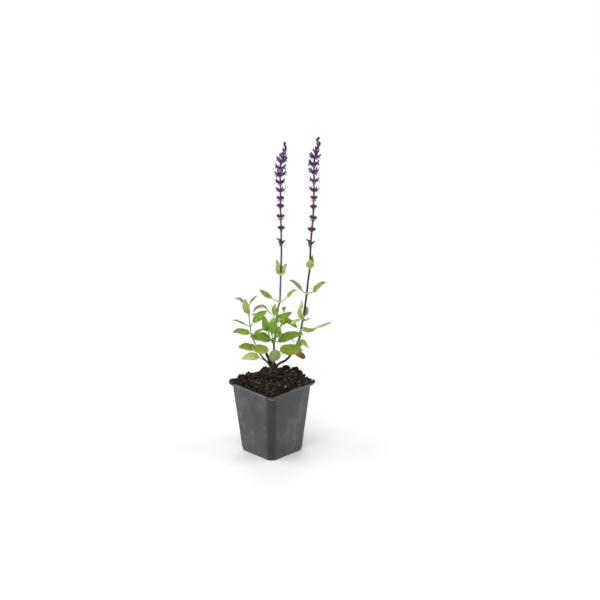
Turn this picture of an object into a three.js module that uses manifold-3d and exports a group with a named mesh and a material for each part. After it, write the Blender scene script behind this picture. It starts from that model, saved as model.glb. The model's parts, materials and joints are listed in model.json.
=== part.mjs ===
// A perennial salvia in a 9 cm square nursery pot: the pot, its potting mix, the woody crown of the plant,
// two flower stems with their spikes, four leafy side shoots, and leaves in opposite pairs on every stem.
// Millimetres, +Z up. The origin is the middle of the pot's flat underside, with the pot's sides along X
// and Y. The plant itself is laid out in a frame turned by PLANT_TURN about Z, so its two spikes spread
// along one diagonal.
import * as THREE from "three";
import Module from "manifold-3d";

const wasm = await Module();
wasm.setup();
const { Manifold, Mesh } = wasm;

// ---------------------------------------------------------------- driving dimensions
const GAP = 0.3; // clearance between two nodes that touch
const COLLAR = { reach: 1.1, thickness: 0.9 }; // half its height, its wall
const BORE_REACH = 4.5; // how far a collar's bore is cut either way
const PLANT_TURN = 45; // degrees from the pot's frame to the plant's frame
const OVER = 1; // how far a cut runs past the face that it opens
const SIMPLIFY = 0.02; // how far a node's points may move when its flat spots are joined

const POT = {
  // side of the rounded square, corner radius, height
  base: [62, 10, 0],
  foot: [66, 10.5, 7.5],
  underRim: [82, 11.5, 93.5],
  rimOut: [90, 11.5, 98.2],
  rimTop: 100,
  rimEdge: 0.8, // bevel of the rim's outer edge
  lip: { back: 0.4, depth: 2 }, // the inner wall opens out under the rim's top
  footBlend: 0.5, // rise of the inner wall's foot above the outer one's
  wall: 1.2,
  floor: 1.6,
  rimWave: 0.5, // how far the thin rim wanders up and down
  drain: { radius: 3.5, out: 19, count: 4, sides: 8 },
  notch: { width: 10, height: 2.5, depth: 9, past: 6 }, // cut under each bottom corner
};

const SOIL = {
  edge: 101, // height where the mix meets the wall, just over the rim
  heap: 6.5, // rise of the heap above that
  // Mounds on the heap: x, y in the plant's frame, height, reach
  mounds: [[29, 20, 5, 15], [-20, 29, -4, 14], [-38, 4, 1.4, 9], [2, -4, 7.5, 11]],
  steepness: 7, // a high power keeps the heap flat in the middle and steep at the rim
  squareness: 5, // 2 would make its outline round
  stillAtWall: 8, // a high power lets the waves of the surface run close to the wall
  rings: 6,
  ringScatter: 0.5, // how far a point strays from its ring, as a share of the way to the next
  roughness: 2.4, // how far single points of the surface stand up or down
  rimCrumbs: 6, // along the wall
  crumbs: 2, // elsewhere
  crumbSize: [2.4, 4],
  crumbReach: 1.06, // the wall is at 1
  rimFrom: 0.86,
  sunk: { lump: 0.35, crumb: 0.25 }, // how far a centre lies above the surface, by its radius
  roundFrom: 3.5, // larger lumps have twenty faces
};
// Larger lumps: x, y in the plant's frame, radius
const SOIL_LUMPS = [
  [19.5, 30, 5.4], [32, 25, 5.8], [38, 18, 4.4], [44, 11, 3.6], [-13, 33, 3.6], [-44, 4, 3.4], [48, -3, 3.2],
  [-30, -20, 3.6], [14, -38, 3.8], [-10, -45, 3.2], [1, 45, 3.6], [-9, 39, 3.6], [-33, 18, 3.6], [-52, 0, 3.4],
  [-49, -6, 3], [52, 1, 3.2], [49, -7, 3], [-3, -52, 2.8], [5, -51, 2.6], [-39, -15, 2.8],
];

const CROWN = {
  centre: [2, -0.5],
  // height, radius from the buried root to the top of the stub
  profile: [[78, 2.4], [92, 3.6], [104, 4.6], [110, 4.4], [117, 4.8], [123, 5.3], [127, 4.4]],
  sides: 7,
  ridge: 0.4, // bark ridges
};
const OLD_STUB = { route: [[0.5, 1, 121], [-3.4, 2, 131], [-8.2, 3.2, 143.5]], halfWidth: [2.4, 1.8] };

// Stems: the points that each passes, half its width at the bottom, just under the tip and at the tip
const TIP_FROM = 0.95;
const FLOWER_STEM_TOP = 286; // the spikes begin here
const STEMS = {
  flower_stem_left: {
    route: [
      [2, 0, 118], [2.5, 0, 134], [3.5, 0, 147], [3.5, 1, 155], [5, 3, 167], [6.5, 4, 181], [9, 5, 205],
      [11.5, 5, 214.5], [12.5, 5, 236], [13, 5, 252], [14, 5, 278], [14, 5, 294], [13.8, 5, 317], [13.2, 5, 333],
      [13, 5, 348], [13, 5, 370], [12.8, 5, 384], [13, 5, 398], [14.7, 5, 407], [17, 5, 414], [18, 5, 420.5],
      [20.7, 5, 425.6], [18.3, 5, 430], [20.3, 5, 433],
    ],
    halfWidth: [1.4, 1, 1.5],
    steps: 32,
    curl: 4, // times finer over the last two steps, where the tip curls
  },
  flower_stem_right: {
    route: [
      [5.8, -1, 118], [7.5, -1.5, 123.5], [11.5, -3, 128.5], [18, -5, 132.5], [24, -6, 138.5], [27.5, -6, 144],
      [31.5, -5, 151], [35, -4, 157], [38.5, -3, 166], [41, 0, 180], [42.5, 0, 189], [45, 0, 204], [48, 0, 227],
      [50, 0, 247], [52, 0, 262], [53, 0, 290], [54.6, 0, 315], [56.4, 0, 333], [56.8, 0, 347], [57.2, 0, 360],
      [57.5, 0, 371], [57.3, 0, 394], [57.5, 0, 405], [58.3, 0, 415], [60.4, 0, 421], [61.4, 0, 427],
      [64.2, 0, 432.3], [61.5, 0, 436.8], [64.1, 0, 440.6],
    ],
    halfWidth: [1.4, 1, 1.5],
    steps: 40,
    curl: 4, // times finer over the last two steps, where the tip curls
  },
  shoot_left_stem: {
    route: [
      [-1.6, -1, 118], [-3, -1, 125], [-7, -2, 131], [-12.5, -4, 138], [-17, -6, 145], [-20, -7, 154],
      [-24.5, -7, 164], [-27, -7, 170], [-28, -7, 180], [-29.5, -6.5, 192], [-30, -6, 199], [-30.5, -5.5, 213],
    ],
    halfWidth: [1.05, 0.6, 0.6],
    steps: 18,
  },
  shoot_front_stem: {
    route: [
      [2, -4.2, 118], [2.5, -4.6, 133], [3, -5, 148], [2.5, -6, 158], [1, -8, 169.5], [0.5, -9, 181],
      [2.5, -9, 192.5], [4.6, -8.5, 201],
    ],
    halfWidth: [0.95, 0.6, 0.6],
    steps: 11,
  },
  shoot_back_stem: {
    route: [
      [4, 3.8, 118], [3.6, 4.8, 134], [3, 6, 144.5], [3, 9, 152], [7.5, 14, 163.5], [13, 17, 177], [16, 18, 187],
    ],
    halfWidth: [0.95, 0.6, 0.6],
    steps: 12,
  },
  shoot_rear_stem: {
    route: [
      [-0.8, 3.8, 118], [1.2, 6.5, 130.5], [2.5, 12, 142.5], [2, 17, 149], [-2.5, 24, 155.5], [-4.5, 33, 162.5],
      [-5.5, 40, 171],
    ],
    halfWidth: [0.95, 0.6, 0.6],
    steps: 13,
  },
};

// Leaves. through: the points that the midrib passes after its root, ending at the tip; width across the
// teeth; face: where the upper face looks; stalk: the part of the length that is petiole; fold: degrees that
// the halves rise from the midrib; twist: degrees from root to tip; taper: above 1 draws the tip out. clear: how
// far up and down a pair that stands close to its stem is cut free of it.
const LEAF = {
  thickness: 0.8, notch: 0.16, wave: 0.35, keel: 0.35,
  stalkWidth: 1.5, stalkHeight: 1.3, stalkEdge: 0.7, // height at the petiole's edges as a share
  longStalk: 0.3, // from this share on, the petiole takes two steps
  rootPower: 0.55, tipPower: 0.85, // how blunt the blade's two ends are
  peak: 0.62, // where a tooth is widest, along its own length
};
const LEAF_PAIRS = {
  flower_stem_left: {
    leaf_pair_left_1: {
      height: 159,
      leaves: [
        {
          through: [[-4, -7, 165.5], [-12, -15, 170], [-22, -20, 172], [-28.5, -21, 173.5]],
          width: 15, face: [-0.1, -0.8, 0.6], taper: 0.9, teeth: 5,
        },
        {
          through: [[8, -5, 160.5], [13, -9, 165], [21, -13, 169.5], [32.5, -16, 174], [44, -17, 175.5]],
          width: 14.5, face: [0.1, -0.7, 0.7], teeth: 6,
        },
      ],
    },
    leaf_pair_left_2: {
      height: 178,
      leaves: [
        { through: [[8, -6, 180], [10.5, -13, 176], [11.5, -16, 168]], width: 9.5, face: [0.1, -0.9, 0.35] },
        {
          through: [[8, 20, 182], [11, 32, 182], [15, 44, 177]],
          width: 13, face: [0, 0.25, 0.95], stalk: 0.25,
        },
      ],
    },
    leaf_pair_left_3: {
      height: 196,
      leaves: [
        {
          through: [
            [0.5, 0, 198.5], [-4.5, -2, 203.5], [-8.5, -4, 209.5], [-14, -6, 211], [-20, -8, 209],
            [-24.5, -10, 204],
          ],
          width: 6, face: [-0.1, -0.45, 0.9], stalk: 0.45,
        },
        {
          through: [[13, -1, 195.5], [20, -3.5, 197], [28.5, -6, 203]],
          width: 10, face: [0, -0.7, 0.7], stalk: 0.12,
        },
      ],
    },
    leaf_pair_left_4: {
      height: 214.5,
      leaves: [
        {
          through: [[5, 2, 216.5], [0, 0, 221.5], [-7.5, -3, 227], [-15.5, -6, 234.5]],
          width: 8, face: [-0.4, -0.6, 0.7], stalk: 0.38,
        },
        {
          through: [[16, 4, 216], [22, 2, 222], [26, 1, 227], [30, 0, 231], [36, -1, 233]],
          width: 6.5, face: [0.3, -0.4, 0.85], stalk: 0.4, taper: 1.3,
        },
      ],
    },
    leaf_pair_left_5: {
      height: 253,
      clear: 13,
      leaves: [
        {
          through: [[8.6, 4, 256], [8, 4, 264], [7, 4, 274]],
          width: 10, face: [0.6, -0.7, 0.3], fold: 32, stalk: 0.05, taper: 0.9,
        },
        {
          through: [[17.2, 5, 255.5], [18.4, 5, 261.5], [21.5, 5, 268]],
          width: 9.5, face: [-0.55, -0.75, 0.3], fold: 32, stalk: 0.05, taper: 0.9,
        },
      ],
    },
  },
  flower_stem_right: {
    leaf_pair_right_1: {
      height: 146,
      leaves: [
        {
          through: [[34, -9, 146], [39.5, -12, 143.5], [46, -13, 139]],
          width: 10, face: [0.3, -0.75, 0.6], taper: 0.7,
        },
        {
          through: [[27, 6, 146], [22.5, 14, 145], [17, 22, 139.5]],
          width: 8.5, face: [0.1, 0.3, 0.9], teeth: 3,
        },
      ],
    },
    leaf_pair_right_2: {
      height: 154,
      leaves: [
        {
          through: [[38, -9, 151.5], [40.5, -14, 152.5], [34, -17, 153], [23, -19, 153.5], [11.5, -20, 154.5]],
          width: 16, face: [0, -0.85, 0.5], stalk: 0.27, taper: 0.5, teeth: 5,
        },
        {
          through: [[38.6, -8, 159], [43.5, -10, 161], [48, -11, 156], [54.5, -11, 150.5]],
          width: 10.5, face: [0.2, -0.8, 0.5], stalk: 0.1, taper: 2.3,
        },
      ],
    },
    leaf_pair_right_3: {
      height: 175,
      leaves: [
        {
          through: [[46, -5, 176.5], [52, -8, 178.5], [60, -10, 182.5], [68.5, -12, 187], [82, -14, 191]],
          width: 9, face: [-0.1, -0.9, 0.5], stalk: 0.08, twist: 190, fold: 26, taper: 0.8, teeth: 6,
        },
        { through: [[44.5, 14, 173], [50, 26, 168.5], [57, 38, 163]], width: 12, face: [0.2, 0.3, 0.9] },
      ],
    },
    leaf_pair_right_4: {
      height: 192,
      clear: 13,
      leaves: [
        {
          through: [[38.4, -4, 197], [38.8, -5, 205.5], [41.4, -4, 213.5], [39.5, -3, 220.5]],
          width: 6.8, face: [0.35, -0.85, 0.3], stalk: 0.1, taper: 1.3,
        },
        {
          through: [[46.6, 3, 196.5], [48.6, 4, 201], [47, 5, 208]],
          width: 7, face: [-0.5, 0.75, 0.3], teeth: 3,
        },
        { through: [[34, -5, 190], [24.5, -10, 186]], width: 6.4, face: [0, -0.5, 0.85], teeth: 3 },
        { through: [[47, -4, 190.5], [52.5, -7, 195]], width: 6, face: [0, -0.3, 0.9], teeth: 3 },
        { through: [[42, -6, 195], [42.4, -8, 202.5]], width: 6, face: [0, 0.9, 0.4], teeth: 3, stalk: 0.1 },
      ],
    },
    leaf_pair_right_5: {
      height: 227.5,
      leaves: [
        {
          through: [[43.5, -3, 230.5], [39.5, -5, 236], [34.5, -7, 242], [29.5, -9, 247], [24.5, -11, 249.5]],
          width: 7, face: [0.3, -0.6, 0.8], stalk: 0.28,
        },
        {
          through: [[52.5, -1, 228.5], [57, -3, 231.5], [63, -6, 238.5], [68, -8, 243.5], [74.5, -10, 246.5]],
          width: 10, face: [-0.45, -0.6, 0.65], stalk: 0.27, taper: 1.2,
        },
      ],
    },
    leaf_pair_right_6: {
      height: 263,
      clear: 13,
      leaves: [
        {
          through: [[52.4, -5, 265.5], [52.4, -7.5, 271.5], [52.2, -5.5, 276.5]],
          width: 12, face: [0, 0.95, 0.3], fold: 22, stalk: 0.05, taper: 0.75,
        },
        {
          through: [[53.6, 5, 266.5], [54.6, 6.5, 272.5], [55.6, 5.5, 279.5]],
          width: 8, face: [-0.1, -0.9, 0.3], fold: 25, stalk: 0.12, teeth: 3,
        },
      ],
    },
  },
  shoot_left_stem: {
    leaf_pair_shoot_left_1: {
      height: 152.5,
      leaves: [
        {
          through: [[-27, -11, 154], [-35, -15, 156.5], [-45, -18, 157]],
          width: 12.5, face: [0.05, -0.7, 0.7], stalk: 0.05, taper: 0.9,
        },
        {
          through: [[-23, -12, 154.5], [-18.5, -16, 154], [-11, -19, 153.5], [-3.5, -19, 153]],
          width: 14, face: [0.1, -0.8, 0.6], stalk: 0.12, taper: 0.5, teeth: 5,
        },
      ],
    },
    leaf_pair_shoot_left_2: {
      height: 171.5,
      leaves: [
        {
          through: [[-32.5, -11, 175.5], [-39.5, -15, 178], [-44.5, -18, 180], [-52, -20, 178.5]],
          width: 10, face: [-0.1, -0.8, 0.6], stalk: 0.12,
        },
        { through: [[-20, -7, 174.5], [-15, -7, 177], [-9, -8, 180.5]], width: 7, face: [0.1, -0.3, 1] },
      ],
    },
    leaf_pair_shoot_left_3: {
      height: 183,
      leaves: [
        {
          through: [[-34, -9, 185.5], [-39.5, -11, 189], [-47, -12, 192.5], [-53, -12, 193.5]],
          width: 6.5, face: [0, -0.15, 1],
        },
        {
          through: [[-25, -7, 187], [-17.5, -6, 195.5], [-5.5, -6, 205]],
          width: 12.5, face: [-0.5, -0.75, 0.45],
        },
      ],
    },
    leaf_pair_shoot_left_4: {
      height: 199,
      clear: 13,
      leaves: [
        {
          through: [[-32.8, -10.5, 206], [-34.5, -11.5, 214], [-35, -10, 222.5]],
          width: 10, face: [0.15, 0.9, 0.3], stalk: 0.06, taper: 0.75,
        },
        { through: [[-32.5, 1, 203.5], [-36.5, 6, 210]], width: 6.5, face: [0.3, -0.6, 0.7], teeth: 3 },
      ],
    },
    leaf_pair_shoot_left_5: {
      height: 211.5,
      leaves: [
        {
          through: [[-34.5, -3.5, 214], [-38.5, -2, 217], [-43, 0, 219.5], [-49, 2, 220]],
          width: 5.5, face: [0.1, -0.5, 0.85], teeth: 3,
        },
        {
          through: [[-28.5, -6, 215], [-24.5, -7, 221], [-18.5, -8, 226.5]],
          width: 6, face: [-0.5, -0.4, 0.75], teeth: 3,
        },
      ],
    },
  },
  shoot_front_stem: {
    leaf_pair_shoot_front_1: {
      height: 176,
      leaves: [
        { through: [[-3.5, -13, 180], [-7, -17, 188], [-10, -19, 198]], width: 12.5, face: [-0.3, -0.8, 0.5] },
        { through: [[4.5, -14, 179], [8, -19, 183], [12.5, -22, 186.5]], width: 9.5, face: [0.3, -0.6, 0.7] },
      ],
    },
    leaf_pair_shoot_front_2: {
      height: 190,
      leaves: [
        { through: [[3, -17, 192], [3, -25, 188], [1.5, -29, 177.5]], width: 12, face: [0, -0.8, 0.6] },
        {
          through: [[-4.5, -12, 191], [-12, -14, 197.5], [-18, -16, 202], [-26.5, -17, 203]],
          width: 8.5, face: [-0.1, -0.6, 0.8],
        },
      ],
    },
    leaf_pair_shoot_front_3: {
      height: 200,
      leaves: [
        {
          through: [[3.4, -12, 206], [4, -13, 211], [6.5, -11, 217]],
          width: 6, face: [0.1, 0.9, 0.3], stalk: 0.1, teeth: 3,
        },
        { through: [[8.4, -7.5, 205], [9.6, -7, 212.5]], width: 6, face: [-0.5, -0.6, 0.3], teeth: 3 },
      ],
    },
  },
  shoot_back_stem: {
    leaf_pair_shoot_back_1: {
      height: 163,
      leaves: [
        { through: [[17, 20, 161], [26, 24, 155], [32, 27, 147]], width: 8.5, face: [0.3, -0.2, 0.9] },
        {
          through: [[1, 22, 166], [-7, 30, 166], [-15, 36, 162]],
          width: 11, face: [-0.2, 0.2, 0.95], teeth: 3,
        },
      ],
    },
    leaf_pair_shoot_back_2: {
      height: 176,
      leaves: [
        { through: [[16.5, 10, 183], [21.5, 5, 187], [28, 3, 182.5]], width: 11, face: [-0.1, -0.7, 0.65] },
        {
          through: [[14, 27, 178], [19, 38, 176], [24, 47, 169]],
          width: 12, face: [0.1, 0.3, 0.9], stalk: 0.22, teeth: 3,
        },
      ],
    },
    leaf_pair_shoot_back_3: {
      height: 186,
      leaves: [
        {
          through: [[16.6, 16, 195], [17.4, 13, 203], [20, 8, 205.5]],
          width: 5.5, face: [0, 0.5, 0.8], stalk: 0.45, taper: 0.6, teeth: 3,
        },
        { through: [[21, 16, 184], [27.5, 14, 180.5], [35.5, 12.5, 174]], width: 8.5, face: [0.2, -0.7, 0.6] },
      ],
    },
  },
  shoot_rear_stem: {
    leaf_pair_shoot_rear_1: {
      height: 154,
      leaves: [
        {
          through: [[-9, 28, 156], [-15, 33, 155], [-22, 38, 150]],
          width: 10, face: [-0.2, 0.2, 0.95], teeth: 3,
        },
        {
          through: [[7, 28, 156], [16, 34, 156], [24, 40, 151]],
          width: 10.5, face: [0.2, 0.2, 0.95], teeth: 3,
        },
      ],
    },
    leaf_pair_shoot_rear_2: {
      height: 162,
      leaves: [{ through: [[-5.5, 44, 166], [-5, 54, 163], [-4, 63, 155]], width: 11, face: [0, 0.3, 0.9] }],
    },
    leaf_pair_shoot_rear_3: {
      height: 170,
      leaves: [
        {
          through: [[-11, 42, 175], [-17, 44, 176], [-24, 46, 173]],
          width: 9.5, face: [-0.2, 0.1, 0.95], teeth: 3,
        },
        { through: [[0, 43, 175], [6, 46, 176], [12, 50, 172]], width: 9, face: [0.2, 0.2, 0.95], teeth: 3 },
      ],
    },
  },
};
// Two leaves rise straight from the crown: the first point is the root, inside the crown
const CROWN_LEAVES = {
  leaf_yellow: {
    through: [
      [-1.5, -3, 122.5], [-7.5, -4.5, 131], [-14, -8, 137], [-20.5, -12, 141], [-30, -17, 143],
      [-41, -20, 140.5],
    ],
    width: 11.5, face: [0.05, -0.85, 0.5], stalk: 0.48,
  },
  leaf_front: {
    through: [[1.8, -3, 124.5], [1.6, -8, 128.5], [3, -13, 137], [5.5, -14.5, 144.5], [7, -13, 151.5]],
    width: 17, face: [-0.05, 0.95, 0.3], stalk: 0.4, taper: 0.55, teeth: 5,
  },
};

// Spikes: each whorl's height on the stem, with what stands in it, and its azimuth where it is not a quarter
// turn on from its neighbour
const SPIKES = {
  spike_left: {
    stem: "flower_stem_left",
    whorls: [
      [294, "leafy", -35], [315, "calyx"], [331, "calyx"], [345, "calyx"], [356, "calyx"], [366.5, "fading"],
      [377.5, "fading"], [387.5, "open"], [396.5, "open"], [405.4, "open"], [411.4, "young"], [416.4, "bud"],
      [421.4, "bud"], [424, "last", 180], [427.4, "last", 0], [431.4, "last", 180],
    ],
    loose: [331.5, 200], // a narrow bract that hangs off one whorl: height, azimuth
  },
  spike_right: {
    stem: "flower_stem_right",
    whorls: [
      [294, "leafy", -35], [314, "calyx"], [330.5, "calyx"], [345, "calyx"], [357.5, "calyx"], [368, "fading"],
      [381, "fading"], [392, "open"], [402.5, "open"], [412.5, "open"], [419.2, "young"], [425, "bud"],
      [429.8, "bud"], [433, "last", 0], [436.8, "last", 180], [439, "last", 0],
    ],
  },
};
const FLOWER = {
  calyxLength: 5.6, calyxRoot: 0.8, calyxMouth: 3.1, rise: 32, // degrees above level
  leastWidth: 0.7,
  scatter: 16, // degrees that flowers differ, round the stem and in their lift
  sizes: [0.92, 0.16], // the least share of the size, and how much may come on top
  rootedAt: 0.5, // share of the stem's half width
  bractLength: 4.6, bractWidth: 2.4, bractThickness: 0.8, bractRise: 0.3, bractDrop: 1.2,
  leafyBract: { length: 9.4, rise: 50, widths: [1.4, 3, 1.2], thickness: [1.4, 2.6, 1] },
  // The open flower from the side: out from the rachis, up, half the thickness. It runs under the calyx,
  // along the hanging lower lip, back to the throat, out over the sickle-shaped hood and home.
  outline: [
    [0, -0.4, 0.4], [4.2, 0.9, 1.1], [7.6, -0.8, 1.3], [5.8, 2.3, 0.9], [7.4, 3.6, 0.75], [8.1, 5.4, 0.6],
    [4, 3.7, 1.1], [0, 0.5, 0.4],
  ],
};
// How many flowers each kind of whorl holds, their size, the degrees that they are lifted, whether a corolla
// shows, the size of its bracts
const WHORL_KINDS = {
  leafy: { count: 2, size: 0.85, lift: 20, bract: 0.8 },
  calyx: { count: 6, size: 0.93, lift: 14, bract: 0.95 },
  fading: { count: 6, size: 0.88, lift: 8, corolla: true },
  open: { count: 6, size: 0.96, lift: 9, corolla: true },
  young: { count: 5, size: 0.76, lift: 16, corolla: true },
  bud: { count: 4, size: 0.66, lift: 12 },
  last: { count: 1, size: 0.36, lift: 25 },
};

// ---------------------------------------------------------------- small tools
const vec = (p) => new THREE.Vector3(...p);
const degrees = THREE.MathUtils.degToRad;
const UP = new THREE.Vector3(0, 0, 1);

// A repeatable random draw between 0 and 1
function drawFrom(seed) {
  let state = seed;
  return () => {
    state = (state * 1664525 + 1013904223) % 4294967296;
    return state / 4294967296;
  };
}

// A closed solid from its points and its triangles
function solid(points, triangles) {
  const vertProperties = new Float32Array(points.flatMap((p) => [p.x, p.y, p.z]));
  return new Manifold(new Mesh({ numProp: 3, vertProperties, triVerts: new Uint32Array(triangles.flat()) }));
}

// The largest body of a solid: what a cut leaves loose is dropped
function main(body) {
  const bodies = body.decompose();
  return bodies.reduce((a, b) => (b.volume() > a.volume() ? b : a));
}

const fuse = (bodies) => Manifold.union(bodies);

// Skin over rings of equal length, each ring turning anticlockwise seen from the end it moves to
function loft(rings) {
  const n = rings[0].length;
  const triangles = [];
  for (let r = 0; r + 1 < rings.length; r++)
    for (let i = 0; i < n; i++) {
      const a = r * n + i;
      const b = r * n + ((i + 1) % n);
      triangles.push([a, b, b + n], [a, b + n, a + n]);
    }
  const last = (rings.length - 1) * n;
  for (let i = 1; i + 1 < n; i++) triangles.push([0, i + 1, i], [last, last + i, last + i + 1]);
  return solid(rings.flat(), triangles);
}

// A bar of rectangular section along a few points; across is the direction of its width
function bar(points, widths, heights, across) {
  const rings = points.map((p, i) => {
    const [before, after] = [points[Math.max(i - 1, 0)], points[Math.min(i + 1, points.length - 1)]];
    const along = after.clone().sub(before).normalize();
    const side = across.clone().addScaledVector(along, -across.dot(along)).normalize();
    const normal = new THREE.Vector3().crossVectors(along, side);
    const [w, h] = [widths[i], heights[i]];
    const corner = (s, n) => p.clone().addScaledVector(side, (s * w) / 2).addScaledVector(normal, (n * h) / 2);
    return [corner(-1, -1), corner(1, -1), corner(1, 1), corner(-1, 1)];
  });
  return loft(rings);
}

// A plate from its upper and lower points, which share one set of triangles
function plate(upper, lower, triangles) {
  const n = upper.length;
  const all = triangles.concat(triangles.map(([a, b, c]) => [a + n, c + n, b + n]));
  const edges = new Set(triangles.flatMap(([a, b, c]) => [`${a},${b}`, `${b},${c}`, `${c},${a}`]));
  for (const edge of edges) {
    const [a, b] = edge.split(",").map(Number);
    if (!edges.has(`${b},${a}`)) all.push([b, a, a + n], [b, a + n, b + n]);
  }
  return solid(upper.concat(lower), all);
}

// ---------------------------------------------------------------- pot
const CORNER_STEPS = 3;

function roundedSquare(side, radius, height, wave = 0) {
  const ring = [];
  for (let corner = 0; corner < 4; corner++)
    for (let k = 0; k <= CORNER_STEPS; k++) {
      const angle = (corner + k / CORNER_STEPS) * (Math.PI / 2);
      const middle = side / 2 - radius;
      const cx = [1, -1, -1, 1][corner] * middle;
      const cy = [1, 1, -1, -1][corner] * middle;
      const x = cx + radius * Math.cos(angle);
      const y = cy + radius * Math.sin(angle);
      ring.push(new THREE.Vector3(x, y, height + wave * Math.sin(3 * Math.atan2(y, x) + 1)));
    }
  return ring;
}

// Side and corner radius of the pot's outer wall at a height above its foot
function wallAt(height) {
  const [footSide, footRadius, footHeight] = POT.foot;
  const [topSide, topRadius, topHeight] = POT.underRim;
  const t = (height - footHeight) / (topHeight - footHeight);
  return [THREE.MathUtils.lerp(footSide, topSide, t), THREE.MathUtils.lerp(footRadius, topRadius, t)];
}

function insideRing(height, shrink, wave = 0) {
  const [side, radius] = wallAt(height);
  return roundedSquare(side - 2 * (POT.wall + shrink), radius - POT.wall - shrink, height, wave);
}

function pot() {
  const [rimSide, rimRadius, rimLow] = POT.rimOut;
  const { rimTop, rimEdge, rimWave, lip, floor, wall } = POT;
  const shell = loft([
    roundedSquare(...POT.base),
    roundedSquare(...POT.foot),
    roundedSquare(...POT.underRim),
    roundedSquare(rimSide, rimRadius, rimLow),
    roundedSquare(rimSide, rimRadius, rimTop - rimEdge, rimWave),
    roundedSquare(rimSide - 2 * rimEdge, rimRadius - rimEdge, rimTop, rimWave),
    insideRing(rimTop, -lip.back, rimWave),
    insideRing(rimTop - lip.depth, 0),
    insideRing(POT.foot[2] + POT.footBlend, 0),
    roundedSquare(POT.base[0] - 2 * wall, POT.base[1] - wall, floor),
  ]);
  const cuts = [];
  for (let i = 0; i < POT.drain.count; i++) {
    const angle = (i * 2 * Math.PI) / POT.drain.count;
    const { out: drainOut, radius, sides } = POT.drain;
    const ring = (z) =>
      [...Array(sides).keys()].map((k) => {
        const a = (k * 2 * Math.PI) / sides;
        return new THREE.Vector3(
          drainOut * Math.cos(angle) + radius * Math.cos(a),
          drainOut * Math.sin(angle) + radius * Math.sin(a),
          z,
        );
      });
    cuts.push(loft([ring(-OVER), ring(floor + OVER)]));
    const { width, height, depth, past } = POT.notch;
    const diagonal = angle + Math.PI / 4;
    const out = new THREE.Vector3(Math.cos(diagonal), Math.sin(diagonal), 0);
    const reach = POT.base[0] / Math.SQRT2 - POT.base[1] * (Math.SQRT2 - 1);
    const middle = (height - OVER) / 2;
    const at = (distance) => out.clone().multiplyScalar(distance).setZ(middle);
    const across = new THREE.Vector3(-out.y, out.x, 0);
    const tall = height + OVER;
    cuts.push(bar([at(reach - depth), at(reach + past)], [width, width], [tall, tall], across));
  }
  return shell.subtract(fuse(cuts));
}

// ---------------------------------------------------------------- soil
// How far out a point lies: 0 in the middle, 1 at the wall
function spread(x, y, half) {
  const power = SOIL.squareness;
  return Math.pow(Math.abs(x / half) ** power + Math.abs(y / half) ** power, 1 / power);
}

// A point of the plant's frame in the pot's frame
function turnToPot(x, y) {
  return new THREE.Vector3(x, y, 0).applyAxisAngle(UP, degrees(PLANT_TURN));
}

const SOIL_MOUNDS = SOIL.mounds.map(([x, y, height, reach]) => {
  const turned = turnToPot(x, y);
  return [turned.x, turned.y, height, reach];
});

// Slow waves of the surface
function unevenness(x, y) {
  return 0.8 * Math.sin(x * 0.21 + 1) * Math.cos(y * 0.17) + 0.6 * Math.sin(y * 0.34 + x * 0.29);
}

function soilHeight(x, y, half) {
  const s = Math.min(1, spread(x, y, half));
  const waves = unevenness(x, y) * (1 - s ** SOIL.stillAtWall);
  const mounds = SOIL_MOUNDS.reduce((sum, [mx, my, height, reach]) => {
    const far = Math.hypot(x - mx, y - my) / reach;
    return sum + height * Math.exp(-far * far);
  }, 0);
  return SOIL.edge + SOIL.heap * (1 - s ** SOIL.steepness) + waves + mounds;
}

// A crumb of potting mix: a rough lump of eight faces, or of twenty for a large one
function crumb(centre, size, draw, large = false) {
  const lump = large ? new THREE.IcosahedronGeometry(size, 0) : new THREE.OctahedronGeometry(size, 0);
  const seen = new Map();
  const points = [];
  const position = lump.getAttribute("position");
  const triangle = [];
  for (let i = 0; i < position.count; i++) {
    const p = new THREE.Vector3().fromBufferAttribute(position, i);
    const key = p.toArray().map((v) => v.toFixed(3)).join();
    if (!seen.has(key)) {
      seen.set(key, points.length);
      points.push(p.multiplyScalar(0.8 + 0.4 * draw()).add(centre));
    }
    triangle.push(seen.get(key));
  }
  const triangles = [];
  for (let i = 0; i < triangle.length; i += 3) triangles.push(triangle.slice(i, i + 3));
  return solid(points, triangles);
}

const STRAIGHT_FROM = 20; // the steps round a corner are shorter

// A ring with two more points on each straight side
function withSidePoints(ring) {
  return ring.flatMap((p, i) => {
    const next = ring[(i + 1) % ring.length];
    if (p.distanceTo(next) < STRAIGHT_FROM) return [p];
    return [p, p.clone().lerp(next, 1 / 3), p.clone().lerp(next, 2 / 3)];
  });
}

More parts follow.
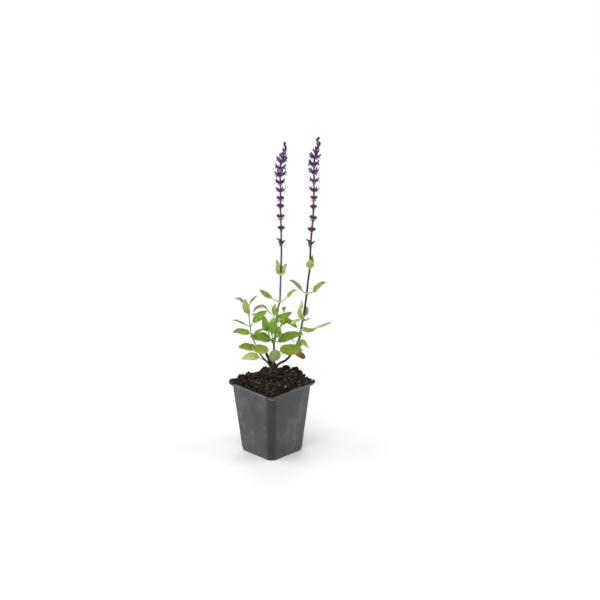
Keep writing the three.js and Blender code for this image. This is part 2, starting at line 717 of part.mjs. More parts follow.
function soil(crownHole) {
  const top = withSidePoints(insideRing(SOIL.edge, GAP));
  const half = top.reduce((most, p) => Math.max(most, p.x), 0);
  const rings = [
    roundedSquare(POT.base[0] - 2 * (POT.wall + GAP), POT.base[1] - POT.wall - GAP, POT.floor + GAP),
    insideRing(POT.foot[2] + POT.footBlend, GAP),
  ].map(withSidePoints);
  const draw = drawFrom(7);
  for (let k = SOIL.rings; k >= 1; k--)
    rings.push(top.map((p) => {
      const share = k === SOIL.rings ? 1 : (k + SOIL.ringScatter * (draw() - 0.5)) / SOIL.rings;
      const [x, y] = [p.x * share, p.y * share];
      return new THREE.Vector3(x, y, soilHeight(x, y, half) + SOIL.roughness * (draw() - 0.5));
    }));
  const crumbs = [];
  for (const [x, y, size] of SOIL_LUMPS) {
    const turned = turnToPot(x, y);
    turned.z = soilHeight(turned.x, turned.y, half) + size * SOIL.sunk.lump;
    crumbs.push(crumb(turned, size, draw, size > SOIL.roundFrom));
  }
  const [least, most] = SOIL.crumbSize;
  const all = SOIL.rimCrumbs + SOIL.crumbs + SOIL_LUMPS.length;
  while (crumbs.length < all) {
    const x = (2 * draw() - 1) * half * SOIL.crumbReach;
    const y = (2 * draw() - 1) * half * SOIL.crumbReach;
    const atRim = all - crumbs.length <= SOIL.rimCrumbs;
    const size = least + (most - least) * draw() ** (atRim ? 1 : 2);
    const s = spread(x, y, half);
    if (s > SOIL.crumbReach || (s > SOIL.rimFrom) !== atRim) continue;
    const centre = new THREE.Vector3(x, y, soilHeight(x, y, half) + size * SOIL.sunk.crumb);
    crumbs.push(crumb(centre, size, draw));
  }
  const potFull = loft([
    roundedSquare(POT.rimOut[0] + 4, POT.rimOut[1], POT.rimTop - 14),
    roundedSquare(POT.rimOut[0] + 4, POT.rimOut[1], POT.rimTop + POT.rimWave + GAP),
  ]);
  const well = loft([insideRing(POT.rimTop - 15, GAP), insideRing(POT.rimTop + 3, GAP)]);
  const wallSpace = potFull.subtract(well);
  return main(fuse([loft(rings), ...crumbs]).subtract(wallSpace).subtract(crownHole));
}

// ---------------------------------------------------------------- stems
// A stem's line with a frame at each station, which does not spin along the way
function stemLine({ route, halfWidth, steps, curl = 1 }) {
  const curve = new THREE.CatmullRomCurve3(route.map(vec), false, "centripetal");
  const frames = curve.computeFrenetFrames(steps, false);
  const stations = [];
  for (let i = 0; i <= steps; i++) {
    const parts = i >= steps - 2 && i < steps ? curl : 1;
    for (let k = 0; k < parts; k++) {
      const share = (i + k / parts) / steps;
      const point = curve.getPointAt(share);
      const along = curve.getTangentAt(share);
      const held = frames.normals[i];
      const side = held.clone().addScaledVector(along, -along.dot(held)).normalize();
      const normal = new THREE.Vector3().crossVectors(along, side);
      const half = share < TIP_FROM
        ? THREE.MathUtils.lerp(halfWidth[0], halfWidth[1], share / TIP_FROM)
        : THREE.MathUtils.lerp(halfWidth[1], halfWidth[2], (share - TIP_FROM) / (1 - TIP_FROM));
      stations.push({ point, along, side, normal, half });
    }
  }
  return { curve, stations };
}

// The place on a stem's chords at a height, with the stem's direction there
function placeAt({ stations }, height) {
  for (let i = 0; i + 1 < stations.length; i++) {
    const [a, b] = [stations[i], stations[i + 1]];
    if (a.point.z <= height && height <= b.point.z) {
      const t = (height - a.point.z) / (b.point.z - a.point.z);
      return {
        point: a.point.clone().lerp(b.point, t),
        along: b.point.clone().sub(a.point).normalize(),
        side: a.side,
        normal: a.normal,
        half: THREE.MathUtils.lerp(a.half, b.half, t),
      };
    }
  }
  throw new Error(`no place at height ${height}`);
}

// A ring of the stem's square section, as all of the mint family have it
function stemRing({ point, side, normal, half }, grow) {
  const w = half + grow;
  const corner = (s, n) => point.clone().addScaledVector(side, s * w).addScaledVector(normal, n * w);
  return [corner(-1, -1), corner(1, -1), corner(1, 1), corner(-1, 1)];
}

// The stem between two heights, or all of it, grown by a clearance
function stemSolid(line, grow = 0, low = -Infinity, high = Infinity) {
  const inside = line.stations.filter(({ point }) => point.z > low && point.z < high);
  if (low > -Infinity) inside.unshift(placeAt(line, low));
  if (high < Infinity) inside.push(placeAt(line, high));
  return loft(inside.map((station) => stemRing(station, grow)));
}

// ---------------------------------------------------------------- leaves
// Half the blade's width along its length, 1 at the widest place
function bladeProfile(u, taper) {
  const [rootPower, tipPower] = [LEAF.rootPower, LEAF.tipPower * taper];
  const widest = rootPower / (rootPower + tipPower);
  return (u / widest) ** rootPower * ((1 - u) / (1 - widest)) ** tipPower;
}

// One leaf from its root point: a petiole, then a blade with a toothed edge, folded and waved
function leaf(root, { through, width, face, stalk = 0.2, teeth = 4, fold = 12, twist = 0, taper = 1 }) {
  const curve = new THREE.CatmullRomCurve3([root, ...through.map(vec)], false, "centripetal");
  const upper = [];
  const lower = [];
  const stationAt = (t) => {
    const along = curve.getTangentAt(t);
    const looks = vec(face).applyAxisAngle(along, degrees(twist * t));
    const side = new THREE.Vector3().crossVectors(along, looks).normalize();
    return { point: curve.getPointAt(t), side, normal: new THREE.Vector3().crossVectors(side, along) };
  };
  // A point at a distance across, raised above the midrib, with the thickness shared to both faces
  const add = ({ point, side, normal }, across, raise, above, below) => {
    const middle = point.clone().addScaledVector(side, across).addScaledVector(normal, raise);
    upper.push(middle.clone().addScaledVector(normal, above));
    lower.push(middle.addScaledVector(normal, -below));
    return upper.length - 1;
  };
  const half = LEAF.thickness / 2;
  const [cosFold, sinFold] = [Math.cos(degrees(fold)), Math.sin(degrees(fold))];
  const edge = (t, u, sign, share, wave) => {
    const across = (width / 2) * bladeProfile(u, taper) * share;
    return add(stationAt(t), sign * across * cosFold, across * sinFold + wave, half, half);
  };
  // Rows across the petiole and then at each tooth: left edge, midrib, right edge
  const rows = [];
  const stalkSteps = stalk > LEAF.longStalk ? 2 : 1;
  const [w, h] = [LEAF.stalkWidth / 2, LEAF.stalkHeight / 2];
  const low = h * LEAF.stalkEdge;
  for (let i = 0; i <= stalkSteps; i++) {
    const station = stationAt((stalk * i) / stalkSteps);
    rows.push([add(station, -w, 0, low, low), add(station, 0, 0, h, h), add(station, w, 0, low, low)]);
  }
  const triangles = [];
  for (let i = 0; i < stalkSteps; i++)
    for (const k of [0, 1]) {
      const [a, b, c, d] = [rows[i][k], rows[i][k + 1], rows[i + 1][k + 1], rows[i + 1][k]];
      triangles.push([a, b, c], [a, c, d]);
    }
  let [left, rib, right] = rows[stalkSteps];
  for (let i = 0; i < teeth; i++) {
    const [peakU, nextU] = [(i + LEAF.peak) / teeth, (i + 1) / teeth];
    const at = (u) => stalk + (1 - stalk) * u;
    const wave = LEAF.wave * (i % 2 ? 1 : -1);
    const peakLeft = edge(at(peakU), peakU, -1, 1, wave);
    const peakRight = edge(at(peakU), peakU, 1, 1, -wave);
    if (i === teeth - 1) {
      const tip = add(stationAt(1), 0, 0, half, half);
      triangles.push([left, rib, peakLeft], [peakLeft, rib, tip]);
      triangles.push([right, peakRight, rib], [peakRight, tip, rib]);
      break;
    }
    const nextRib = add(stationAt(at(nextU)), 0, 0, half, half + LEAF.keel);
    const nextLeft = edge(at(nextU), nextU, -1, 1 - LEAF.notch, 0);
    const nextRight = edge(at(nextU), nextU, 1, 1 - LEAF.notch, 0);
    triangles.push([left, rib, peakLeft], [peakLeft, rib, nextRib], [peakLeft, nextRib, nextLeft]);
    triangles.push([right, peakRight, rib], [peakRight, nextRib, rib], [peakRight, nextRight, nextRib]);
    [left, rib, right] = [nextLeft, nextRib, nextRight];
  }
  return plate(upper, lower, triangles);
}

// The swollen ring that joins a pair of petioles round the stem
function collar(place) {
  return prism(place, COLLAR.reach, COLLAR.thickness + GAP);
}

// A straight square hole for the stem to pass through a collar
function bore(place) {
  return prism(place, BORE_REACH, GAP);
}

// A straight length of the stem's section either way from a place, grown all round
function prism(place, reach, grow) {
  const at = (lift) => ({ ...place, point: place.point.clone().addScaledVector(place.along, lift) });
  return loft([stemRing(at(-reach), grow), stemRing(at(reach), grow)]);
}

// ---------------------------------------------------------------- flowers
// One flower standing out from the rachis towards an azimuth: a bare calyx, or one with its two-lipped corolla
function flower(origin, outward, size, withCorolla, tilt) {
  const across = new THREE.Vector3().crossVectors(UP, outward).normalize();
  const turned = (out, up) => {
    const [c, s] = [Math.cos(tilt), Math.sin(tilt)];
    return origin.clone()
      .addScaledVector(outward, (out * c - up * s) * size).addScaledVector(UP, (out * s + up * c) * size);
  };
  if (!withCorolla) {
    const rise = degrees(FLOWER.rise);
    const mouth = turned(FLOWER.calyxLength * Math.cos(rise), FLOWER.calyxLength * Math.sin(rise));
    const { calyxRoot, calyxMouth, leastWidth } = FLOWER;
    const widths = [calyxRoot, calyxMouth].map((width) => Math.max(width * size, leastWidth));
    return bar([turned(0, 0), mouth], widths, widths, across);
  }
  const outline = FLOWER.outline.map(([out, up]) => new THREE.Vector2(out, up));
  const side = (sign) =>
    FLOWER.outline.map(([out, up, half]) => turned(out, up).addScaledVector(across, sign * half * size));
  return plate(side(-1), side(1), THREE.ShapeUtils.triangulateShape(outline, []));
}

// A bract under a whorl, and the two longer ones that stand up at the lowest whorl
function bract(origin, outward, size, sag = 0) {
  const across = new THREE.Vector3().crossVectors(UP, outward).normalize();
  const at = (out, up) => origin.clone().addScaledVector(outward, out * size).addScaledVector(UP, up * size);
  const { bractLength, bractWidth, bractThickness, bractRise, bractDrop } = FLOWER;
  return bar(
    [at(0, -bractDrop), at(bractLength, bractLength * (bractRise - sag) - bractDrop)],
    [bractWidth * 0.5 * size, bractWidth * size],
    [bractThickness * 1.3, bractThickness],
    across,
  );
}

function leafyBract(origin, outward) {
  const { length, rise, widths, thickness } = FLOWER.leafyBract;
  const [level, up] = [Math.cos(degrees(rise)), Math.sin(degrees(rise))];
  const slope = outward.clone().multiplyScalar(level).addScaledVector(UP, up);
  const points = [0, 0.45, 1].map((t) => origin.clone().addScaledVector(slope, length * t));
  return bar(points, widths, thickness, new THREE.Vector3().crossVectors(UP, outward));
}

function spike({ whorls, loose }, line, seed) {
  const draw = drawFrom(seed);
  const top = line.stations[line.stations.length - 1].point.z;
  const pieces = [stemSolid(line, 0, FLOWER_STEM_TOP + GAP, top - 0.01)];
  const towards = (azimuth) => new THREE.Vector3(1, 0, 0).applyAxisAngle(UP, degrees(azimuth));
  const rootAt = ({ point, half }, outward) => point.clone().addScaledVector(outward, FLOWER.rootedAt * half);
  whorls.forEach(([height, kind, given], index) => {
    const { count, size, lift, corolla = false, bract: bractSize = 0 } = WHORL_KINDS[kind];
    const place = placeAt(line, height);
    const quarter = given ?? (index % 2 ? 90 : 0);
    const first = count === 1 ? quarter : quarter + 180 / count;
    for (let i = 0; i < count; i++) {
      const outward = towards(first + (360 / count) * i + FLOWER.scatter * (draw() - 0.5));
      const tilt = degrees(lift + FLOWER.scatter * (draw() - 0.5));
      const grown = size * (FLOWER.sizes[0] + FLOWER.sizes[1] * draw());
      pieces.push(flower(rootAt(place, outward), outward, grown, corolla, tilt));
    }
    for (const turn of bractSize ? [0, 180] : []) {
      const outward = towards(quarter + turn);
      pieces.push(bract(rootAt(place, outward), outward, bractSize));
      if (kind === "leafy") pieces.push(leafyBract(rootAt(place, outward), outward));
    }
  });
  if (loose) {
    const [place, outward] = [placeAt(line, loose[0]), towards(loose[1])];
    pieces.push(bract(rootAt(place, outward), outward, 1.1, 1));
  }
  return main(fuse(pieces));
}

// ---------------------------------------------------------------- crown
function crownProfile(grow) {
  const { centre, profile, sides, ridge } = CROWN;
  return loft(
    profile.map(([height, radius], level) =>
      [...Array(sides).keys()].map((k) => {
        const angle = (k * 2 * Math.PI) / sides;
        const r = radius + grow + ridge * Math.cos(3 * angle + level);
        return new THREE.Vector3(centre[0] + r * Math.cos(angle), centre[1] + r * Math.sin(angle), height);
      }),
    ),
  );
}

function crown(lines) {
  const [low, high] = OLD_STUB.halfWidth;
  const widths = [2 * low, 2 * low, 2 * high];
  const stub = bar(OLD_STUB.route.map(vec), widths, widths, new THREE.Vector3(0, 1, 0));
  const sockets = Object.values(lines).map((line) => stemSolid(line, GAP));
  return main(fuse([crownProfile(0), stub]).subtract(fuse(sockets)));
}

// ---------------------------------------------------------------- assembly
const MATERIALS = {
  pot: { color: 0x54575b, roughness: 0.45 },
  soil: { color: 0x33241b, roughness: 0.95 },
  bark: { color: 0x4a3425, roughness: 0.85 },
  stem: { color: 0x4c3f45, roughness: 0.6 },
  leaf: { color: 0x7ba044, roughness: 0.6 },
  leafYellow: { color: 0xbfc650, roughness: 0.6 },
  flower: { color: 0x55327f, roughness: 0.65 },
};

function node(name, body, material) {
  const { vertProperties, triVerts } = body.simplify(SIMPLIFY).getMesh();
  const geometry = new THREE.BufferGeometry()
    .setAttribute("position", new THREE.BufferAttribute(new Float32Array(vertProperties), 3))
    .setIndex(new THREE.BufferAttribute(new Uint32Array(triVerts), 1));
  geometry.computeVertexNormals();
  const finish = new THREE.MeshStandardMaterial({ ...MATERIALS[material], metalness: 0 });
  const mesh = new THREE.Mesh(geometry, finish);
  mesh.name = name;
  return mesh;
}

const object = new THREE.Group();
const plant = new THREE.Group();
plant.rotation.z = degrees(PLANT_TURN);
object.add(plant);

const lines = Object.fromEntries(Object.entries(STEMS).map(([name, stem]) => [name, stemLine(stem)]));
const potSolid = pot();
const crownHole = crownProfile(GAP).rotate([0, 0, PLANT_TURN]);
object.add(node("pot", potSolid, "pot"), node("soil", soil(crownHole), "soil"));

const crownSolid = crown(lines);
const crownAndStems = fuse([crownProfile(GAP), ...Object.values(lines).map((line) => stemSolid(line, GAP))]);
const crownLeaves = Object.entries(CROWN_LEAVES).map(([name, { through, ...form }]) => [
  name,
  main(leaf(vec(through[0]), { ...form, through: through.slice(1) }).subtract(crownAndStems)),
]);
plant.add(node("crown", crownSolid, "bark"));
for (const [name, line] of Object.entries(lines)) {
  const isFlowerStem = name.startsWith("flower_stem");
  plant.add(node(name, stemSolid(line, 0, -Infinity, isFlowerStem ? FLOWER_STEM_TOP : Infinity), "stem"));
}
for (const [name, body] of crownLeaves)
  plant.add(node(name, body, name === "leaf_yellow" ? "leafYellow" : "leaf"));
for (const [stemName, pairs] of Object.entries(LEAF_PAIRS)) {
  for (const [name, { height, clear, leaves }] of Object.entries(pairs)) {
    const line = lines[stemName];
    const place = placeAt(line, height);
    const pair = fuse([collar(place), ...leaves.map((form) => leaf(place.point.clone(), form))]);
    const hole = clear ? stemSolid(line, GAP, height - clear, height + clear) : bore(place);
    plant.add(node(name, main(pair.subtract(hole)), "leaf"));
  }
}
Object.entries(SPIKES).forEach(([name, form], i) =>
  plant.add(node(name, spike(form, lines[form.stem], 11 + i), "flower")));

export default object;
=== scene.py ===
# A perennial salvia in its 9 cm square nursery pot: the finishing of every piece of the part.
# Tables are in millimetres. The plant is laid out in a frame turned by PLANT_TURN from the pot's.
import json
import math
import random

import bmesh
import bpy
from mathutils import Euler, Matrix, Quaternion, Vector, noise

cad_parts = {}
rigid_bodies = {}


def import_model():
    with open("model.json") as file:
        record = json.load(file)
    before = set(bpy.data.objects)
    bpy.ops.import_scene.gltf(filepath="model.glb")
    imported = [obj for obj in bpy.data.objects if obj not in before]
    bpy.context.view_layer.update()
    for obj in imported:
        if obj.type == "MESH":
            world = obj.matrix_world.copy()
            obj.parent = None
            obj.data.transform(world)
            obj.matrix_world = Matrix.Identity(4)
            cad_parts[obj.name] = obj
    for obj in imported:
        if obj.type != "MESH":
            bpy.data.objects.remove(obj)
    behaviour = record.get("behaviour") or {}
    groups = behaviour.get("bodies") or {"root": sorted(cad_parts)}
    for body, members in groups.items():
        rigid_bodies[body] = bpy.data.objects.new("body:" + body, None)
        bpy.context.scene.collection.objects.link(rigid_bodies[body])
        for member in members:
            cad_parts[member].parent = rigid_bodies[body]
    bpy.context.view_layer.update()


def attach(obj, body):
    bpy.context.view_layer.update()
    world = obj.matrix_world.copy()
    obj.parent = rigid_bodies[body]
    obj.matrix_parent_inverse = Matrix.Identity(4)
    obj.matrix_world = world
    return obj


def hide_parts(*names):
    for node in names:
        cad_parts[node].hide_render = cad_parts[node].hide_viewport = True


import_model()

MM = 0.001
PLANT_TURN = 45
TURN = Matrix.Rotation(math.radians(PLANT_TURN), 3, "Z")
UP = Vector((0, 0, 1))
ACROSS = Vector((0, 1, 0))  # the side direction of the flower shapes
FULL_TURN = 6.28  # the span of a random angle


# ---------------------------------------------------------------- sizes, as in the solids
POT = {
    # side of the rounded square, corner radius, height
    "base": (62, 10, 0),
    "foot": (66, 10.5, 7.5),
    "under_rim": (82, 11.5, 93.5),
    "rim_out": (90, 11.5, 98.2),
    "rim_top": 100,
    "wall": 1.2,
    "floor": 1.6,
    "rim_wave": 0.5,
    "drain": {"radius": 3.5, "out": 19, "count": 4},
    "notch": {"width": 10, "height": 2.5, "depth": 9},
}
SOIL = {
    "edge": 101,
    "heap": 6.5,
    "mounds": [(29, 20, 5, 15), (-20, 29, -4, 14), (-38, 4, 1.4, 9), (2, -4, 7.5, 11)],
    "steepness": 7,
    "clearance": 0.3,
    # how often a place is drawn for a clod on the rim and for a chip of bark, and the number of fibres
    "rim_tries": 1500,
    "chip_tries": 170,
    "fibres": 60,
}
# Larger lumps: x, y in the plant's frame, radius
SOIL_LUMPS = [
    (19.5, 30, 5.4), (32, 25, 5.8), (38, 18, 4.4), (44, 11, 3.6), (-13, 33, 3.6), (-44, 4, 3.4),
    (48, -3, 3.2), (-30, -20, 3.6), (14, -38, 3.8), (-10, -45, 3.2), (1, 45, 3.6), (-9, 39, 3.6),
    (-33, 18, 3.6), (-52, 0, 3.4), (-49, -6, 3), (52, 1, 3.2), (49, -7, 3), (-3, -52, 2.8), (5, -51, 2.6),
    (-39, -15, 2.8),
]
CROWN = {
    "centre": (2, -0.5),
    "profile": [(78, 2.4), (92, 3.6), (104, 4.6), (110, 4.4), (117, 4.8), (123, 5.3), (127, 4.4)],
    "ridge": 0.4,
}
OLD_STUB = {"route": [(0.5, 1, 121), (-3.4, 2, 131), (-8.2, 3.2, 143.5)], "half_width": (2.4, 1.8)}
FLOWER_STEM_TOP = 286
STEMS = {
    "flower_stem_left": dict(half_width=(1.4, 1.0, 1.5), route=[
        (2, 0, 118), (2.5, 0, 134), (3.5, 0, 147), (3.5, 1, 155), (5, 3, 167), (6.5, 4, 181),
        (9, 5, 205), (11.5, 5, 214.5), (12.5, 5, 236), (13, 5, 252), (14, 5, 278), (14, 5, 294),
        (13.8, 5, 317), (13.2, 5, 333), (13, 5, 348), (13, 5, 370), (12.8, 5, 384), (13, 5, 398),
        (14.7, 5, 407), (17, 5, 414), (18, 5, 420.5), (20.7, 5, 425.6), (18.3, 5, 430), (20.3, 5, 433),
    ]),
    "flower_stem_right": dict(half_width=(1.4, 1.0, 1.5), route=[
        (5.8, -1, 118), (7.5, -1.5, 123.5), (11.5, -3, 128.5), (18, -5, 132.5), (24, -6, 138.5),
        (27.5, -6, 144), (31.5, -5, 151), (35, -4, 157), (38.5, -3, 166), (41, 0, 180), (42.5, 0, 189),
        (45, 0, 204), (48, 0, 227), (50, 0, 247), (52, 0, 262), (53, 0, 290), (54.6, 0, 315),
        (56.4, 0, 333), (56.8, 0, 347), (57.2, 0, 360), (57.5, 0, 371), (57.3, 0, 394), (57.5, 0, 405),
        (58.3, 0, 415), (60.4, 0, 421), (61.4, 0, 427), (64.2, 0, 432.3), (61.5, 0, 436.8), (64.1, 0, 440.6),
    ]),
    "shoot_left_stem": dict(half_width=(1.05, 0.6, 0.6), route=[
        (-1.6, -1, 118), (-3, -1, 125), (-7, -2, 131), (-12.5, -4, 138), (-17, -6, 145), (-20, -7, 154),
        (-24.5, -7, 164), (-27, -7, 170), (-28, -7, 180), (-29.5, -6.5, 192), (-30, -6, 199),
        (-30.5, -5.5, 213),
    ]),
    "shoot_front_stem": dict(half_width=(0.95, 0.6, 0.6), route=[
        (2, -4.2, 118), (2.5, -4.6, 133), (3, -5, 148), (2.5, -6, 158), (1, -8, 169.5), (0.5, -9, 181),
        (2.5, -9, 192.5), (4.6, -8.5, 201),
    ]),
    "shoot_back_stem": dict(half_width=(0.95, 0.6, 0.6), route=[
        (4, 3.8, 118), (3.6, 4.8, 134), (3, 6, 144.5), (3, 9, 152), (7.5, 14, 163.5), (13, 17, 177),
        (16, 18, 187),
    ]),
    "shoot_rear_stem": dict(half_width=(0.95, 0.6, 0.6), route=[
        (-0.8, 3.8, 118), (1.2, 6.5, 130.5), (2.5, 12, 142.5), (2, 17, 149), (-2.5, 24, 155.5),
        (-4.5, 33, 162.5), (-5.5, 40, 171),
    ]),
}


def blade(tone, width, face, *through, **form):
    """A leaf: its colouring, its width, where its upper face looks, the points that its midrib passes after
    its root, and where they differ from the usual its stalk's share, its taper, its fold and its twist."""
    return dict(tone=tone, width=width, face=face, through=through, **form)


# Each stem's pairs of leaves: the first part of their names, then from the lowest up its height and leaves
LEAF_PAIRS = {
    "flower_stem_left": ("leaf_pair_left", [
        (159,
         blade("dark", 15, (-0.1, -0.8, 0.6), (-4, -7, 165.5), (-12, -15, 170), (-22, -20, 172),
               (-28.5, -21, 173.5), taper=0.9),
         blade("dark", 14.5, (0.1, -0.7, 0.7), (8, -5, 160.5), (13, -9, 165), (21, -13, 169.5),
               (32.5, -16, 174), (44, -17, 175.5))),
        (178,
         blade("light", 9.5, (0.1, -0.9, 0.35), (8, -6, 180), (10.5, -13, 176), (11.5, -16, 168)),
         blade("mid", 13, (0, 0.25, 0.95), (8, 20, 182), (11, 32, 182), (15, 44, 177), stalk=0.25)),
        (196,
         blade("dusky", 6, (-0.1, -0.45, 0.9), (0.5, 0, 198.5), (-4.5, -2, 203.5), (-8.5, -4, 209.5),
               (-14, -6, 211), (-20, -8, 209), (-24.5, -10, 204), stalk=0.45),
         blade("shaded", 10, (0, -0.7, 0.7), (13, -1, 195.5), (20, -3.5, 197), (28.5, -6, 203),
               stalk=0.12)),
        (214.5,
         blade("tipped", 8, (-0.4, -0.6, 0.7), (5, 2, 216.5), (0, 0, 221.5), (-7.5, -3, 227),
               (-15.5, -6, 234.5), stalk=0.38),
         blade("tipped", 6.5, (0.3, -0.4, 0.85), (16, 4, 216), (22, 2, 222), (26, 1, 227), (30, 0, 231),
               (36, -1, 233), stalk=0.4, taper=1.3)),
        (253,
         blade("pale", 10, (0.6, -0.7, 0.3), (8.6, 4, 256), (8, 4, 264), (7, 4, 274), fold=32, stalk=0.05,
               taper=0.9),
         blade("pale", 9.5, (-0.55, -0.75, 0.3), (17.2, 5, 255.5), (18.4, 5, 261.5), (21.5, 5, 268),
               fold=32, stalk=0.05, taper=0.9)),
    ]),
    "flower_stem_right": ("leaf_pair_right", [
        (146,
         blade("withered", 10, (0.3, -0.75, 0.6), (34, -9, 146), (39.5, -12, 143.5), (46, -13, 139),
               taper=0.7),
         blade("mid", 8.5, (0.1, 0.3, 0.9), (27, 6, 146), (22.5, 14, 145), (17, 22, 139.5))),
        (154,
         blade("gold", 16, (0, -0.85, 0.5), (38, -9, 151.5), (40.5, -14, 152.5), (34, -17, 153),
               (23, -19, 153.5), (11.5, -20, 154.5), stalk=0.27, taper=0.5),
         blade("light", 10.5, (0.2, -0.8, 0.5), (38.6, -8, 159), (43.5, -10, 161), (48, -11, 156),
               (54.5, -11, 150.5), stalk=0.1, taper=2.3)),
        (175,
         blade("twisted", 9, (-0.1, -0.9, 0.5), (46, -5, 176.5), (52, -8, 178.5), (60, -10, 182.5),
               (68.5, -12, 187), (82, -14, 191), stalk=0.08, twist=190, fold=26, taper=0.8),
         blade("mid", 12, (0.2, 0.3, 0.9), (44.5, 14, 173), (50, 26, 168.5), (57, 38, 163))),
        (192,
         blade("pale", 6.8, (0.35, -0.85, 0.3), (38.4, -4, 197), (38.8, -5, 205.5), (41.4, -4, 213.5),
               (39.5, -3, 220.5), stalk=0.1, taper=1.3),
         blade("dusky", 7, (-0.5, 0.75, 0.3), (46.6, 3, 196.5), (48.6, 4, 201), (47, 5, 208)),
         blade("pale", 6.4, (0, -0.5, 0.85), (34, -5, 190), (24.5, -10, 186)),
         blade("grey", 6, (0, -0.3, 0.9), (47, -4, 190.5), (52.5, -7, 195)),
         blade("light", 6, (0, 0.9, 0.4), (42, -6, 195), (42.4, -8, 202.5), stalk=0.1)),
        (227.5,
         blade("dusky", 7, (0.3, -0.6, 0.8), (43.5, -3, 230.5), (39.5, -5, 236), (34.5, -7, 242),
               (29.5, -9, 247), (24.5, -11, 249.5), stalk=0.28),
         blade("tipped", 10, (-0.45, -0.6, 0.65), (52.5, -1, 228.5), (57, -3, 231.5), (63, -6, 238.5),
               (68, -8, 243.5), (74.5, -10, 246.5), stalk=0.27, taper=1.2)),
        (263,
         blade("fresh", 12, (0, 0.95, 0.3), (52.4, -5, 265.5), (52.4, -7.5, 271.5), (52.2, -5.5, 276.5),
               fold=22, stalk=0.05, taper=0.75),
         blade("fresh", 8, (-0.1, -0.9, 0.3), (53.6, 5, 266.5), (54.6, 6.5, 272.5), (55.6, 5.5, 279.5),
               fold=25, stalk=0.12)),
    ]),
    "shoot_left_stem": ("leaf_pair_shoot_left", [
        (152.5,
         blade("olive", 12.5, (0.05, -0.7, 0.7), (-27, -11, 154), (-35, -15, 156.5), (-45, -18, 157),
               stalk=0.05, taper=0.9),
         blade("olive", 14, (0.1, -0.8, 0.6), (-23, -12, 154.5), (-18.5, -16, 154), (-11, -19, 153.5),
               (-3.5, -19, 153), stalk=0.12, taper=0.5)),
        (171.5,
         blade("tipped", 10, (-0.1, -0.8, 0.6), (-32.5, -11, 175.5), (-39.5, -15, 178), (-44.5, -18, 180),
               (-52, -20, 178.5), stalk=0.12),
         blade("mid", 7, (0.1, -0.3, 1), (-20, -7, 174.5), (-15, -7, 177), (-9, -8, 180.5))),
        (183,
         blade("dusky", 6.5, (0, -0.15, 1), (-34, -9, 185.5), (-39.5, -11, 189), (-47, -12, 192.5),
               (-53, -12, 193.5)),
         blade("mid", 12.5, (-0.5, -0.75, 0.45), (-25, -7, 187), (-17.5, -6, 195.5), (-5.5, -6, 205))),
        (199,
         blade("fresh", 10, (0.15, 0.9, 0.3), (-32.8, -10.5, 206), (-34.5, -11.5, 214), (-35, -10, 222.5),
               stalk=0.06, taper=0.75),
         blade("mid", 6.5, (0.3, -0.6, 0.7), (-32.5, 1, 203.5), (-36.5, 6, 210))),
        (211.5,
         blade("dusky", 5.5, (0.1, -0.5, 0.85), (-34.5, -3.5, 214), (-38.5, -2, 217), (-43, 0, 219.5),
               (-49, 2, 220)),
         blade("dusky", 6, (-0.5, -0.4, 0.75), (-28.5, -6, 215), (-24.5, -7, 221), (-18.5, -8, 226.5))),
    ]),
    "shoot_front_stem": ("leaf_pair_shoot_front", [
        (176,
         blade("mid", 12.5, (-0.3, -0.8, 0.5), (-3.5, -13, 180), (-7, -17, 188), (-10, -19, 198)),
         blade("mid", 9.5, (0.3, -0.6, 0.7), (4.5, -14, 179), (8, -19, 183), (12.5, -22, 186.5))),
        (190,
         blade("dark", 12, (0, -0.8, 0.6), (3, -17, 192), (3, -25, 188), (1.5, -29, 177.5)),
         blade("mid", 8.5, (-0.1, -0.6, 0.8), (-4.5, -12, 191), (-12, -14, 197.5), (-18, -16, 202),
               (-26.5, -17, 203))),
        (200,
         blade("tipped", 6, (0.1, 0.9, 0.3), (3.4, -12, 206), (4, -13, 211), (6.5, -11, 217), stalk=0.1),
         blade("tipped", 6, (-0.5, -0.6, 0.3), (8.4, -7.5, 205), (9.6, -7, 212.5))),
    ]),
    "shoot_back_stem": ("leaf_pair_shoot_back", [
        (163,
         blade("mid", 8.5, (0.3, -0.2, 0.9), (17, 20, 161), (26, 24, 155), (32, 27, 147)),
         blade("mid", 11, (-0.2, 0.2, 0.95), (1, 22, 166), (-7, 30, 166), (-15, 36, 162))),
        (176,
         blade("mid", 11, (-0.1, -0.7, 0.65), (16.5, 10, 183), (21.5, 5, 187), (28, 3, 182.5)),
         blade("mid", 12, (0.1, 0.3, 0.9), (14, 27, 178), (19, 38, 176), (24, 47, 169), stalk=0.22)),
        (186,
         blade("grey", 5.5, (0, 0.5, 0.8), (16.6, 16, 195), (17.4, 13, 203), (20, 8, 205.5), stalk=0.45,
               taper=0.6),
         blade("mid", 8.5, (0.2, -0.7, 0.6), (21, 16, 184), (27.5, 14, 180.5), (35.5, 12.5, 174))),
    ]),
    "shoot_rear_stem": ("leaf_pair_shoot_rear", [
        (154,
         blade("mid", 10, (-0.2, 0.2, 0.95), (-9, 28, 156), (-15, 33, 155), (-22, 38, 150)),
         blade("mid", 10.5, (0.2, 0.2, 0.95), (7, 28, 156), (16, 34, 156), (24, 40, 151))),
        (162,
         blade("mid", 11, (0, 0.3, 0.9), (-5.5, 44, 166), (-5, 54, 163), (-4, 63, 155))),
        (170,
         blade("light", 9.5, (-0.2, 0.1, 0.95), (-11, 42, 175), (-17, 44, 176), (-24, 46, 173)),
         blade("light", 9, (0.2, 0.2, 0.95), (0, 43, 175), (6, 46, 176), (12, 50, 172))),
    ]),
}
